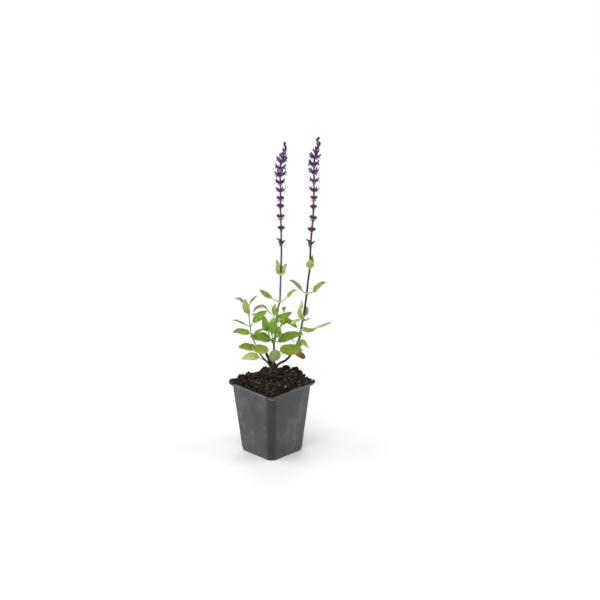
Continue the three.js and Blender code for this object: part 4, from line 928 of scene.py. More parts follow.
def studio():
    """A white room: pale to the camera, dimmer as a light, with four soft boxes and a paper floor."""
    scene = bpy.context.scene
    scene.view_settings.view_transform = "Standard"
    scene.world = bpy.data.worlds.new("white_studio")
    scene.world.use_nodes = True
    room = Nodes(scene.world.node_tree)
    seen, lit = (
        room.node("ShaderNodeBackground", {"Color": colour, "Strength": strength}).outputs[0]
        for colour, strength in (((1, 1, 1, 1), 1.0), ((0.95, 0.98, 1, 1), WORLD_LIGHT))
    )
    ray = room.node("ShaderNodeLightPath").outputs["Is Camera Ray"]
    choice = room.node("ShaderNodeMixShader", {0: ray, 1: lit, 2: seen})
    room.node("ShaderNodeOutputWorld", {0: choice.outputs[0]})
    # The camera stands towards (1, -1), so its left is (-1, -1) and its right is (1, 1)
    soft_box("box_left", (-1.05, -1.1, 0.75), (1.2, 1.4), 17)
    soft_box("box_right", (1.1, 1.05, 0.75), (1.2, 1.4), 15)
    soft_box("box_key", (0.45, -0.95, 1.9), (1.3, 1.3), 22)
    soft_box("box_rear", (-0.9, 0.9, 1.5), (1.2, 1.2), 12)

    skin = Skin()
    corners, reach = 96, 620
    skin.faces.append(tuple(skin.add((reach * x, reach * y, 0)) for x, y in circle(corners)))
    floor = make_object("floor", skin, in_pot_frame=True)
    f = Finish("pale_paper_floor")
    cloud = f.noise(6, 3)
    colour = f.tinge("#dcdcdc", "#e0e0df", cloud, *NOISE_SPAN, 1)
    floor.data.materials.append(f.coat(colour, (cloud, 0.85, 0.95), None))


WORLD_LIGHT = 0.55
photographer()
studio()


# ---------------------------------------------------------------- pot
CORNER_STEPS = SIDE_STEPS = 10
CRISP_FROM = 38  # degrees between two faces from which their edge stays crisp


def rounded_square(side, radius, height, wave=0.0):
    """The points of a rounded square, the same number at every height; a wave lifts and lowers them."""
    middle = side / 2 - radius

    def on_corner(corner, angle):
        x, y = (1, -1, -1, 1)[corner % 4] * middle, (1, 1, -1, -1)[corner % 4] * middle
        return x + radius * math.cos(angle), y + radius * math.sin(angle)

    ring = []
    for corner in range(4):
        angles = [(corner + k / CORNER_STEPS) * math.pi / 2 for k in range(CORNER_STEPS + 1)]
        ring.extend(on_corner(corner, angle) for angle in angles)
        start, goal = ring[-1], on_corner(corner + 1, (corner + 1) * math.pi / 2)
        for k in range(1, SIDE_STEPS):
            t = k / SIDE_STEPS
            ring.append((start[0] + (goal[0] - start[0]) * t, start[1] + (goal[1] - start[1]) * t))
    return [Vector((x, y, height + wave * math.sin(3 * math.atan2(y, x) + 1))) for x, y in ring]


def wall_at(height):
    (foot_side, foot_radius, foot_height), (top_side, top_radius, top_height) = POT["foot"], POT["under_rim"]
    t = (height - foot_height) / (top_height - foot_height)
    return foot_side + (top_side - foot_side) * t, foot_radius + (top_radius - foot_radius) * t


def inside_ring(height, shrink, wave=0.0):
    side, radius = wall_at(height)
    wall = POT["wall"] + shrink
    return rounded_square(side - 2 * wall, radius - wall, height, wave)


def hand_formed(ring, depth):
    """Thin vacuum-formed walls are never quite flat: they bow a little between the corners."""
    out = []
    for p in ring:
        away = Vector((p.x, p.y, 0)).normalized()
        bow = noise.noise(Vector((p.x * 0.03, p.y * 0.03, p.z * 0.02)) + Vector((3, 8, 1)))
        out.append(p + away * depth * bow)
    return out


def pot_rings():
    """The pot's skin from the middle of its base up the outside, over the rim and down the inside."""
    rim_side, rim_radius, rim_low = POT["rim_out"]
    top, wave, wall = POT["rim_top"], POT["rim_wave"], POT["wall"]
    foot, under, base = POT["foot"], POT["under_rim"], POT["base"]
    bowed, spans = 0.45, 14
    rings = [
        rounded_square(base[0] - 0.8, base[1] - 0.4, 0),
        rounded_square(base[0] - 0.1, base[1], 0.3),
        rounded_square(base[0] + 3, base[1], 4),
        rounded_square(foot[0] - 0.3, foot[1], foot[2] - 0.4),
        rounded_square(foot[0] + 0.05, foot[1], foot[2] + 0.4),
    ]
    for k in range(1, spans):
        height = foot[2] + (under[2] - foot[2]) * k / spans
        rings.append(hand_formed(rounded_square(*wall_at(height), height), bowed))
    return rings + [
        rounded_square(*wall_at(under[2] - 0.9), under[2] - 0.9),
        rounded_square(under[0] + 0.5, under[1], under[2] + 0.3),
        rounded_square(under[0] + 1.7, under[1], under[2] + 1.6, wave * 0.2),
        rounded_square(under[0] + 3.4, under[1], under[2] + 2.9, wave * 0.5),
        rounded_square(rim_side - 1.5, rim_radius, rim_low - 0.7, wave * 0.8),
        rounded_square(rim_side - 0.3, rim_radius, rim_low, wave),
        rounded_square(rim_side, rim_radius, top - 0.9, wave),
        rounded_square(rim_side - 0.35, rim_radius - 0.2, top - 0.35, wave),
        rounded_square(rim_side - 1.1, rim_radius - 0.5, top - 0.05, wave),
        rounded_square(rim_side - 2.2, rim_radius - 1.1, top, wave),
        inside_ring(top, -0.5, wave),
        inside_ring(top - 0.4, -0.15, wave),
        inside_ring(top - 2, 0),
        inside_ring(foot[2] + 0.5, 0),
        rounded_square(base[0] - 2 * wall, base[1] - wall, POT["floor"]),
    ]


def pot_cutter():
    """What the drain holes and the notches under the bottom corners take out of the pot."""
    skin = Skin()
    count, out, radius = (POT["drain"][key] for key in ("count", "out", "radius"))
    half, up, depth = POT["notch"]["width"] / 2, POT["notch"]["height"], POT["notch"]["depth"]
    bevel, past, sides = 0.8, 6, 28
    section = [
        (-half, -1), (half, -1), (half, up - bevel), (half - bevel, up), (bevel - half, up),
        (-half, up - bevel),
    ]
    corner = POT["base"][0] / math.sqrt(2) - POT["base"][1] * (math.sqrt(2) - 1)
    for i in range(count):
        angle = i * 2 * math.pi / count
        x, y = out * math.cos(angle), out * math.sin(angle)
        skin.join_rings([
            [skin.add((x + radius * a, y + radius * b, z)) for a, b in circle(sides)]
            for z in (-1, POT["floor"] + 1)
        ])
        diagonal = angle + math.pi / 4
        outward = Vector((math.cos(diagonal), math.sin(diagonal), 0))
        across = Vector((-math.sin(diagonal), math.cos(diagonal), 0))
        skin.join_rings([
            [skin.add(outward * far + across * a + UP * b) for a, b in section]
            for far in (corner - depth, corner + past)
        ])
    return outward_facing(make_object("pot_cutter", skin, in_pot_frame=True))


def outward_facing(obj):
    """Turns the faces of a closed skin round if they look inwards."""
    mesh = bmesh.new()
    mesh.from_mesh(obj.data)
    if mesh.calc_volume(signed=True) < 0:
        obj.data.flip_normals()
    mesh.free()
    return obj


def make_pot():
    skin = Skin()
    skin.join_rings([[skin.add(p) for p in ring] for ring in pot_rings()])
    pot, cutter = make_object("nursery_pot", skin, in_pot_frame=True), pot_cutter()
    cut = pot.modifiers.new("openings", "BOOLEAN")
    cut.operation, cut.solver, cut.object = "DIFFERENCE", "EXACT", cutter
    done = finished(pot, "nursery_pot")
    bpy.data.objects.remove(cutter)
    done.data.shade_smooth()
    done.data.set_sharp_from_angle(angle=math.radians(CRISP_FROM))
    return settle(done, pot_plastic(), "pot", "pot")


# ---------------------------------------------------------------- potting mix
def mound_points():
    """The mounds of the heap, carried into the pot's frame."""
    return [(*(TURN @ Vector((x, y, 0))).xy, height, reach) for x, y, height, reach in SOIL["mounds"]]


MOUNDS = mound_points()
SOIL_HALF = (wall_at(SOIL["edge"])[0] - 2 * (POT["wall"] + SOIL["clearance"])) / 2


def spread(x, y):
    """How far out a point of the pot's frame lies: 0 in the middle, 1 at the wall."""
    return (abs(x / SOIL_HALF) ** 5 + abs(y / SOIL_HALF) ** 5) ** 0.2


def heap_height(x, y):
    s = min(1.0, spread(x, y))
    uneven = 0.8 * math.sin(x * 0.21 + 1) * math.cos(y * 0.17) + 0.6 * math.sin(y * 0.34 + x * 0.29)
    mounds = sum(h * math.exp(-((x - mx) ** 2 + (y - my) ** 2) / reach**2) for mx, my, h, reach in MOUNDS)
    return SOIL["edge"] + SOIL["heap"] * (1 - s ** SOIL["steepness"]) + uneven * (1 - s**8) + mounds


def clumped(x, y):
    """Height of the loose surface: clods, then crumbs, then grit."""
    p = Vector((x, y, 0))
    clods = noise.noise(p * 0.13 + Vector((5, 1, 9)))
    crumbs = 0.5 - noise.voronoi(p * 0.3)[0][0]
    grit = noise.noise(p * 0.9)
    return 1.5 * clods + 1.9 * crumbs + 0.6 * grit


def set_grain(mesh, value_of):
    grain = mesh.attributes.new("grain", "FLOAT", "POINT")
    grain.data.foreach_set("value", [value_of(v.co) for v in mesh.vertices])


def bed_grain(co):
    return 0.32 + 0.3 * noise.noise(co * 90) + 0.12 * noise.noise(co * 420)


def heap_rings(skin, shares, height_of):
    """Rings over the heap, each at a share of the way from the middle to the wall."""
    edge = inside_ring(SOIL["edge"], SOIL["clearance"])
    return [[skin.add((p.x * s, p.y * s, height_of(p.x * s, p.y * s, s))) for p in edge] for s in shares]


def make_bed():
    """The body of the mix: a block that fills the pot, under a heap of clods."""
    skin, clear = Skin(), SOIL["clearance"]
    bottom = rounded_square(
        POT["base"][0] - 2 * (POT["wall"] + clear), POT["base"][1] - POT["wall"] - clear, POT["floor"] + clear
    )
    walls = (bottom, inside_ring(POT["foot"][2] + 0.5, clear), inside_ring(POT["rim_top"] - 8, clear))
    rings = [[skin.add(p) for p in ring] for ring in walls]
    steps = 44

    def surface(x, y, share):
        held = 0.5 if share == 1 else 1.0  # the clods are lower where the heap meets the wall
        return heap_height(x, y) + clumped(x, y) * held * min(1.0, 0.35 + share * 6)

    rings += heap_rings(skin, [k / steps for k in range(steps, 0, -1)], surface)
    skin.join_rings(rings)
    bed = make_object("potting_mix_bed", skin, in_pot_frame=True)
    set_grain(bed.data, bed_grain)
    return settle(bed, POTTING_MIX, "soil", "soil")


def rough_lump(name, size, level, seed, stretch=(1, 1, 1), roughness=0.35, blocky=0.0):
    """A rough ball, or a rounded block, of a few faces, for crumbs and clods."""
    mesh = bmesh.new()
    tipped = Euler((seed * 1.1, seed * 0.7, seed * 1.9)).to_matrix()
    bmesh.ops.create_icosphere(mesh, subdivisions=level, radius=1.0)
    shift = Vector((seed * 3.7, seed * 1.3, seed * 2.1))
    for v in mesh.verts:
        large, small = noise.noise(v.co * 1.3 + shift), noise.noise(v.co * 3.1 + shift)
        rough = 1 + roughness * large + 0.5 * roughness * small
        if blocky:
            longest = max(abs(c) for c in tipped @ v.co)
            rough *= 1 + blocky * (0.72 / longest - 1)
        v.co = Vector(a * b for a, b in zip(v.co * rough, stretch)) * size * MM
    made = bpy.data.meshes.new(name)
    mesh.to_mesh(made)
    mesh.free()
    return linked(name, made)


def heap_copy():
    """The upper surface of the heap alone, for strewing."""
    skin = Skin()
    shares = (1.03, 0.98, 0.9, 0.75, 0.55, 0.3, 0.05)
    rings = heap_rings(skin, shares, lambda x, y, share: heap_height(x, y) + 0.8 * clumped(x, y) + 0.2)
    skin.join_rings(rings, caps=(False, True))
    return make_object("strewing_surface", skin, in_pot_frame=True)


def rim_spots(draw, kinds):
    """Clods along the rim, pressed over the wall's edge: what point_cloud takes."""
    spots = []
    side, radius, _ = POT["rim_out"]
    for _ in range(SOIL["rim_tries"]):
        x, y = ((2 * draw.random() - 1) * side / 2 for _ in range(2))
        # How far inside the rim's outer edge, and how near to a corner of the pot
        past = [abs(v) - side / 2 + radius for v in (x, y)]
        inside = radius - math.hypot(*(max(p, 0) for p in past)) - min(max(past), 0)
        cornered = smooth_step(0.74, 0.94, min(abs(x), abs(y)) / max(abs(x), abs(y)))
        if not 1.7 - 2.5 * cornered < inside < 6.5:
            continue
        size = 0.6 + 1.5 * draw.random() ** 1.8
        over_rim = smooth_step(5, 4, inside)
        height = heap_height(x, y) * (1 - over_rim) + (POT["rim_top"] + 0.3 + 0.4 * size) * over_rim
        height -= 1.6 * smooth_step(0.4, -0.8, inside)
        place = TURN.transposed() @ Vector((x, y, height + 0.5 * draw.random()))
        turn = tuple(FULL_TURN * draw.random() for _ in range(3))
        spots.append((place, turn, size, draw.randrange(kinds), (draw.random(),) * 3 + (1,)))
    return spots


def chip_spots(draw):
    """Flat chips of bark among the crumbs, most of them towards the front and the left."""
    spots = []
    for _ in range(SOIL["chip_tries"]):
        x, y = ((2 * draw.random() - 1) * SOIL_HALF * 0.95 for _ in range(2))
        seen = TURN.transposed() @ Vector((x, y, heap_height(x, y) + 1.2 + 0.8 * draw.random()))
        if draw.random() > 0.2 + 0.8 * smooth_step(12, -30, seen.x + 0.7 * (seen.y + 20)):
            continue
        turn = (0.9 * (draw.random() - 0.5), 0.9 * (draw.random() - 0.5), FULL_TURN * draw.random())
        size, kind = 1.3 + 1.5 * draw.random(), draw.randrange(*CHIP_KINDS)
        spots.append((seen, turn, size, kind, (0.5 + 0.47 * draw.random(),) * 3 + (1,)))
    return spots


def make_crumbs():
    shapes = [rough_lump("crumb_" + name, 1, 1, seed, *CRUMBS[name]) for seed, name in enumerate(CRUMBS, 1)]
    given = dict(zip(shape_names(len(shapes)), shapes), Finish=POTTING_MIX)
    strew = crumbling_tree(len(shapes))
    for name, sizes in STREWN.items():
        settle(strew.run(heap_copy(), name, **sizes, **given), None, "soil", "soil")

    draw = random.Random(21)
    spots = rim_spots(draw, len(shapes)) + chip_spots(draw)
    tree = placing_tree("set_rim_crumbs", len(shapes))
    rim = tree.run(point_cloud("rim_spots", spots), "rim_crumbs", **given)
    values = [0.0] * (4 * len(rim.data.vertices))
    rim.data.attributes["tint"].data.foreach_get("color", values)
    rim.data.attributes.new("grain", "FLOAT", "POINT").data.foreach_set("value", values[::4])
    rim.data.shade_flat()
    settle(rim, None, "soil", "soil")
    for shape in shapes:
        bpy.data.objects.remove(shape)


# Crumbs of five shapes: how far each is stretched, and how rough it is
CRUMBS = {
    "round": ((1, 0.9, 0.85), 0.5),
    "block": ((1.25, 0.8, 0.7), 0.7),
    "chip": ((1.3, 0.8, 0.4), 0.4),
    "sliver": ((1.25, 0.4, 0.35), 0.4),
    "clod": ((1, 1, 0.8), 0.8),
}
CHIP_KINDS = (1, 4)  # block, chip and sliver
# What is strewn over the heap: pieces to a square metre, their sizes in millimetres
STREWN = {
    "potting_mix_crumbs": dict(Density=250000.0, Smallest=0.6, Largest=2.9, Seed=3),
    "potting_mix_grit": dict(Density=380000.0, Smallest=0.3, Largest=0.8, Seed=8),
}
# Fibres that lie on the mix or hang over the rim: points in the plant's frame, colour, thickness
RIM_FIBRES = [
    ([(57, -2, 102.5), (60, -3, 102), (63.5, -3, 99), (64.5, -4, 95.5), (62.5, -5, 93.5)], "#a66a62", 0.34),
    ([(56, 1, 103), (60, 1, 103.6), (63.5, 0, 101.5), (65.5, 0, 98), (64.5, -1, 94.5)], "#a8645c", 0.34),
    ([(55, -4, 102), (59, -6, 100), (61.5, -7, 97)], "#9a7a72", 0.18),
    ([(-56, 0, 102), (-59.5, -1, 103.5), (-61, -1, 102)], "#7d7c74", 0.16),
    ([(-53, -5, 101.5), (-57, -5, 100.5), (-60, -4, 102)], "#6f6a5c", 0.15),
    ([(-3, -59.4, 98.6), (-0.5, -60.6, 97.2), (3, -60.4, 96.8), (7, -58.8, 97.8)], "#a88a6c", 0.26),
    ([(-1, -60.2, 97.8), (2, -60.8, 96.5), (5, -60, 96.9)], "#bfa280", 0.26),
    ([(-5, -57.2, 100.4), (-3, -59.2, 98.9), (-1, -60.2, 97.8)], "#8c7055", 0.2),
]


def make_clods():
    """The larger lumps on the heap, with two finer grades of roughness."""
    noise.seed_set(1)  # without it, noise_vector starts from the clock and no two runs are the same
    joined = bmesh.new()
    for i, (x, y, size) in enumerate(SOIL_LUMPS):
        p = TURN @ Vector((x, y, 0))
        lump = rough_lump("clod", size, 3, 11 + i, (1, 0.95, 0.9), 0.6, blocky=0.5)
        for v in lump.data.vertices:
            v.co += noise.noise_vector(v.co * 900 + Vector((i, 0, 0))) * 0.0006
            v.co += noise.noise_vector(v.co * 300 + Vector((0, i, 0))) * 0.002
            v.co += Vector((p.x, p.y, heap_height(p.x, p.y) + size * 0.35)) * MM
        joined.from_mesh(lump.data)
        bpy.data.objects.remove(lump)
    mesh = bpy.data.meshes.new("clods")
    joined.to_mesh(mesh)
    joined.free()
    set_grain(mesh, lambda co: 0.22 + 0.34 * noise.noise(co * 60) + 0.14 * noise.noise(co * 500))
    settle(linked("potting_mix_clods", mesh), POTTING_MIX, "soil", "soil")


def make_fibres():
    """Fibres of coir and old roots, strewn on the heap and over the rim."""
    draw = random.Random(5)
    lines = [(points, paint(code), thick) for points, code, thick in RIM_FIBRES]
    browns = ["#3a2a1e", "#5a4430", "#7d6540", "#6b4a34", "#8a7a52", "#a08a64", "#4a3022"]
    while len(lines) < SOIL["fibres"]:
        x, y = ((2 * draw.random() - 1) * SOIL_HALF for _ in range(2))
        heading, points = draw.random() * FULL_TURN, []
        steps, stride = draw.randrange(4, 8), 1.2 + 1.6 * draw.random()
        for k in range(steps):
            if spread(x, y) > 1.02:
                break
            lift = 1.7 + 0.9 * math.sin(math.pi * k / (steps - 1)) * draw.random()
            points.append(TURN.transposed() @ Vector((x, y, heap_height(x, y) + lift)))
            heading += 0.9 * (draw.random() - 0.5)
            x, y = x + stride * math.cos(heading), y + stride * math.sin(heading)
        if len(points) > 2:
            lines.append((points, paint(draw.choice(browns)), 0.1 + 0.18 * draw.random()))
    data = bpy.data.curves.new("fibre_lines", "CURVE")
    data.dimensions = "3D"
    for points, _, thick in lines:
        route = [Line(points, 5).at(k / 14) for k in range(15)]
        spline = data.splines.new("POLY")
        spline.points.add(len(route) - 1)
        for k, (spot, p) in enumerate(zip(spline.points, route)):
            spot.co = (*((TURN @ p) * MM), 1)
            spot.radius = thick * (1.0 - 0.6 * k / len(route))
    obj = linked("fibre_lines", data)
    fibres = fibre_tree().run(obj, "soil_fibres", Thickness=MM, Finish=fibre_finish())
    # Each fibre has its own colour; a tube has the same number of points as its neighbours
    count = len(fibres.data.vertices)
    tints = [v for i in range(count) for v in lines[min(i // (count // len(lines)), len(lines) - 1)][1]]
    fibres.data.attributes.new("tint", "FLOAT_COLOR", "POINT").data.foreach_set("color", tints)
    settle(fibres, None, "soil", "soil")


POTTING_MIX = potting_mix()
make_pot()
make_bed()
make_crumbs()
make_clods()
make_fibres()


# ---------------------------------------------------------------- crown and stems
STEM_LINES = {name: Line(stem["route"]) for name, stem in STEMS.items()}


def make_crown():
    """The old woody crown: ridged bark, flared where the stems leave it, with the stub of a cut stem."""
    skin, rings = Skin(), []
    profile = Line([(radius, 0, height) for height, radius in CROWN["profile"]])
    sides, levels, stub_sides, stub_levels, cut_from = 30, 40, 12, 16, 0.93
    brown, dark, pale = paint("#2e2218"), paint("#1a110c"), paint("#50402e")
    for k in range(levels + 1):
        spot = profile.at(k / levels)
        ring = []
        for j in range(sides):
            angle = j * 2 * math.pi / sides
            turned = Vector((math.cos(angle), math.sin(angle), 0))
            rough = noise.fractal(Vector((turned.x * 1.6, turned.y * 1.6, spot.z * 0.09)), 0.6, 2.0, 4)
            ridge = CROWN["ridge"] * math.cos(3 * angle + k / 6) + 0.35 * math.cos(8 * angle + spot.z * 0.07)
            r = spot.x + ridge + 0.9 * rough
            tint = mixed(brown, dark if rough < 0 else pale, abs(rough) * 2)
            x, y = (c + r * t for c, t in zip(CROWN["centre"], turned))
            ring.append(skin.add((x, y, spot.z), tint))
        rings.append(ring)
    skin.join_rings(rings)
    shares = [k / stub_levels for k in range(stub_levels + 1)]
    low, high = OLD_STUB["half_width"]
    rings = []
    for share, (point, along, side, normal) in zip(shares, carried_frames(Line(OLD_STUB["route"]), shares)):
        ring = []
        for a, b in circle(stub_sides):
            rough = 0.22 * noise.noise(Vector((a * 1.5, b * 1.5, share * 7)))
            split = 1.5 * abs(noise.noise(Vector((a * 2, b * 2, 5)))) if share > cut_from else 0
            r = (low + (high - low) * share) * (1 + rough) * (0.72 if share == 1 else 1)
            tint = mixed(dark, pale, 0.9 if share > 0.97 else 0.25 + rough)
            ring.append(skin.add(point + (side * a + normal * b) * r + along * split, tint))
        rings.append(ring)
    skin.join_rings(rings)
    return settle(make_object("woody_crown", skin), bark_finish(), "bark", "crown")


def square_section():
    """A square with rounded corners and a shallow groove down each side."""
    side = [(0.98, -0.62), (0.9, -0.32), (0.85, 0), (0.9, 0.32), (0.98, 0.62), (0.97, 0.84), (0.84, 0.97)]
    out = []
    for _ in range(4):
        out += side
        side = [(-b, a) for a, b in side]
    return out


STEM_SECTION = square_section()
TIP_FROM = 0.95  # where the crowded tip of a stem begins
# Hairs to a square metre, and their size in metres
HAIRS = {
    "stem": dict(Density=360000.0, Length=0.0006, Thickness=0.00005),
    "calyx": dict(Density=500000.0, Length=0.0005, Thickness=0.00005),
}


def half_width(stem, share):
    low, high, tip = stem["half_width"]
    if share < TIP_FROM:
        return low + (high - low) * share / TIP_FROM
    return high + (tip - high) * (share - TIP_FROM) / (1 - TIP_FROM)


def stem_rings(skin, name, low=None, high=None):
    """The skin of a stem between two heights, or to its ends, swollen at each pair of leaves."""
    line, stem = STEM_LINES[name], STEMS[name]
    first = 0.0 if low is None else line.share_at_height(low)
    last = 1.0 if high is None else line.share_at_height(high)
    steps = max(8, round((last - first) * line.length / 1.5))
    fine = 200
    sides = [side for _, _, side, _ in carried_frames(line, [k / fine for k in range(fine + 1)])]
    nodes = [height for height, *_ in LEAF_PAIRS[name][1]]
    frames, sizes, tints = [], [], []
    for k in range(steps + 1):
        at = first + (last - first) * (k / steps)
        along, point = line.along(at), line.at(at)
        side = sides[round(at * fine)]
        side = (side - along * side.dot(along)).normalized()
        swell = sum(0.16 * math.exp(-(((point.z - h) / 2.2) ** 2)) for h in nodes)
        uneven = 1 + 0.05 * noise.noise(point * 0.35)
        frames.append((point, along, side, along.cross(side)))
        sizes.append(((half_width(stem, at) + swell) * uneven,) * 2)
        shade = 1 + 0.16 * noise.noise(point * 0.5 + Vector((9, 0, 0)))
        tints.append(tuple(v * shade for v in tone_at(STEM_TONES[name], point.z)[:3]) + (1,))
    skin.tube(frames, sizes, STEM_SECTION, tints)


def make_stems(finish):
    made = {}
    for name in STEMS:
        skin = Skin()
        stem_rings(skin, name, high=FLOWER_STEM_TOP if name.startswith("flower_stem") else None)
        made[name] = make_object("green_" + name, skin)
    hairs = hair_tree()
    for i, (name, stem) in enumerate(made.items()):
        hair = hairs.run(stem, "hairs_" + name, keep=True, Seed=4 + i, Finish=HAIR, **HAIRS["stem"])
        settle(stem, finish, "stem", name)
        settle(hair, None, "stem", name)


# ---------------------------------------------------------------- leaves
LEAF = {
    "stalk_width": 1.5, "stalk_height": 1.3, "rib_spacing": 4.0, "blade": 0.3, "edge": 0.13,
    "scallop": 2.6, "scallop_depth": 0.075, "quilt": 0.055, "droop": 0.05, "groove": 0.3, "keel": 0.55,
}
COLUMNS = [-1, -0.9, -0.74, -0.54, -0.34, -0.17, -0.06, 0, 0.06, 0.17, 0.34, 0.54, 0.74, 0.9, 1]
SCALLOP = (0.0, 0.7, 1.0, 0.75)  # how far out the edge lies in the four rows of one scallop


def blade_profile(u, taper):
    """Half the blade's width along its length, 1 at the widest place."""
    root_power, tip_power = 0.55, 0.85 * taper
    widest = root_power / (root_power + tip_power)
    u = min(1.0, max(0.0, u))
    return (u / widest) ** root_power * ((1 - u) / (1 - widest)) ** tip_power


def blade_tint(tone, u, edge, patch):
    """The blade's colour at a share of its length and of its half width, varied by a patchy noise."""
    base, dark, margin, margin_from, tip, tip_from, _ = LEAF_TONES[tone]
    tint = mixed(base, dark, smooth_step(-0.15, 0.45, patch))
    tint = mixed(tint, margin, smooth_step(margin_from - 0.12, 1, edge + 0.14 * patch) * 0.85)
    return mixed(tint, tip, smooth_step(tip_from - 0.08, min(1, tip_from + 0.2), u + 0.1 * patch))


def leaf(skin, route, form, draw):
    """One leaf: a channelled petiole that runs into a folded, quilted blade with a scalloped edge."""
    line, tone = Line(route), form["tone"]
    stalk, taper, fold = form.get("stalk", 0.2), form.get("taper", 1), math.radians(form.get("fold", 12))
    base, *_, under = LEAF_TONES[tone]
    stalk_tint = paint(form["stalk_tone"]) if "stalk_tone" in form else mixed(base, paint("#b4c274"), 0.45)
    blade_length = line.length * (1 - stalk)
    rows = max(5, round(blade_length / LEAF["scallop"])) * len(SCALLOP)
    stalk_rows = max(4, round(line.length * stalk / 1.4))
    shares = [stalk * k / stalk_rows for k in range(stalk_rows)]
    shares += [stalk + (1 - stalk) * k / rows for k in range(rows + 1)]
    phase, second = draw.random() * FULL_TURN, draw.random() * FULL_TURN
    ripple = 0.06 + 0.05 * draw.random()
    shift = Vector((draw.random() * 50, 0, 0))
    brightness = 0.92 + 0.16 * draw.random()
    rings = []
    for index, share in enumerate(shares):
        u = (share - stalk) / (1 - stalk)
        along, point = line.along(share), line.at(share)
        twist = Quaternion(along, math.radians(form.get("twist", 0) * share))
        side = along.cross(twist @ Vector(form["face"])).normalized()
        normal = side.cross(along)
        opened = smooth_step(-0.01, 0.1, u)  # 0 on the petiole, 1 on the blade
        wide = form["width"] / 2 * blade_profile(u, taper) if u > 0 else 0.0
        stalk_half = LEAF["stalk_width"] / 2 * (1 - 0.25 * smooth_step(0, 1, share / max(stalk, 0.01)))
        half = max(wide, stalk_half * (1 - smooth_step(0.86, 1.0, u)), 0.1)
        scallop = SCALLOP[(index - stalk_rows) % len(SCALLOP)] if u > 0.02 else 1.0
        upper, lower = [], []
        for v in COLUMNS:
            edge = abs(v)
            reach = half * (v if edge < 0.95 else v * (1 - LEAF["scallop_depth"] * (1 - scallop) * opened))
            across = abs(reach)
            passed = (u * blade_length - 0.5 * across) / LEAF["rib_spacing"]
            quilt = (0.5 - 0.5 * math.cos(2 * math.pi * passed)) * math.sin(math.pi * min(1, edge) ** 0.8)
            wave = math.sin(2 * math.pi * 1.7 * u + phase + (second if v > 0 else 0))
            lift = across * math.sin(fold) * opened
            lift += opened * (
                LEAF["quilt"] * half * quilt
                + ripple * half * edge**1.7 * wave
                - LEAF["droop"] * half * edge**2
                + 0.22 * noise.noise(Vector((u * blade_length * 0.35, reach * 0.35, 0)) + shift)
            )
            thick = LEAF["blade"] + (LEAF["edge"] - LEAF["blade"]) * edge
            groove = LEAF["groove"] * math.exp(-((across / 0.5) ** 2)) * opened
            keel = LEAF["keel"] * (1 - 0.7 * max(0, u)) * math.exp(-((across / 0.6) ** 2)) * opened
            round_half = math.sqrt(max(0, 1 - edge**2))
            top = thick * opened + (1 - opened) * (0.32 + 0.1 * edge)
            bottom = thick * opened + (1 - opened) * (0.15 + LEAF["stalk_height"] * 0.45 * round_half)
            middle = point + side * reach * (math.cos(fold) * opened + 1 - opened) + normal * lift
            place = (passed if u > 0 else 0.5, reach / 10)
            patch = noise.noise(middle * 0.22 + shift)
            bright = brightness * (1 + 0.1 * quilt)
            tint = mixed(stalk_tint, blade_tint(tone, u, edge, patch), opened)
            tint = tuple(min(1, c * bright) for c in tint[:3]) + (1,)
            upper.append(skin.add(middle + normal * (top - groove), tint, place))
            lower.append(skin.add(middle - normal * (bottom + keel), mixed(tint, under, 0.6 * opened), place))
        rings.append(upper + lower[::-1])
    skin.join_rings(rings)


def collar(skin, stem_name, height, tint):
    """The swollen ring that joins a pair of petioles round the stem."""
    line = STEM_LINES[stem_name]
    middle = line.share_at_height(height)
    shares = [middle + lift / line.length for lift in (-1.9, -1.4, -0.9, -0.3, 0.3, 0.9, 1.4, 1.9)]
    half = half_width(STEMS[stem_name], middle)
    sizes = [((half + grow) * 1.12,) * 2 for grow in (0.1, 0.3, 0.62, 0.85, 0.85, 0.62, 0.3, 0.1)]
    skin.tube(carried_frames(line, shares), sizes, circle(16), [tint] * len(shares))


def make_leaves(finish):
    seed = 100
    for stem_name, (prefix, pairs) in LEAF_PAIRS.items():
        line = STEM_LINES[stem_name]
        for number, (height, *forms) in enumerate(pairs, 1):
            name = f"{prefix}_{number}"
            root = line.at(line.share_at_height(height))
            skin, draw = Skin(), random.Random(seed)
            for form in forms:
                leaf(skin, [root, *form["through"]], form, draw)
            tone = LEAF_TONES[forms[0]["tone"]][0]
            collar(skin, stem_name, height, mixed(tone, paint("#a9b765"), 0.6))
            settle(make_object("quilted_" + name, skin), finish, "leaf", name)
            seed += 1
    for number, (name, form) in enumerate(CROWN_LEAVES.items()):
        skin = Skin()
        leaf(skin, form["through"], form, random.Random(200 + number))
        slot = "leaf_yellow" if name == "leaf_yellow" else "leaf"
        settle(make_object("quilted_" + name, skin), finish, slot, name)


# ---------------------------------------------------------------- flower shapes
# Each stands at the origin, out along x and up along z, in millimetres
def side_frames(path):
    """Frames along a path that lies in the x-z plane: across is y."""
    line = Line([(x, 0, z) for x, z in path])
    steps = max(5, len(path) * 2)
    shares = [k / steps for k in range(steps + 1)]
    return shares, [(line.at(s), line.along(s), ACROSS, line.along(s).cross(ACROSS)) for s in shares]


def between(values, share):
    place = share * (len(values) - 1)
    i = min(int(place), len(values) - 2)
    return values[i] + (values[i + 1] - values[i]) * (place - i)


def petal_tube(skin, path, sides, tints, wide, high=None):
    """A tube along a path, with its half widths and half heights at even steps, and a tint at either end."""
    shares, frames = side_frames(path)
    sizes = [(between(wide, s), between(high or wide, s)) for s in shares]
    colours = [mixed(*tints, smooth_step(0.2, 0.95, s)) for s in shares]
    skin.tube(frames, sizes, circle(sides), colours)


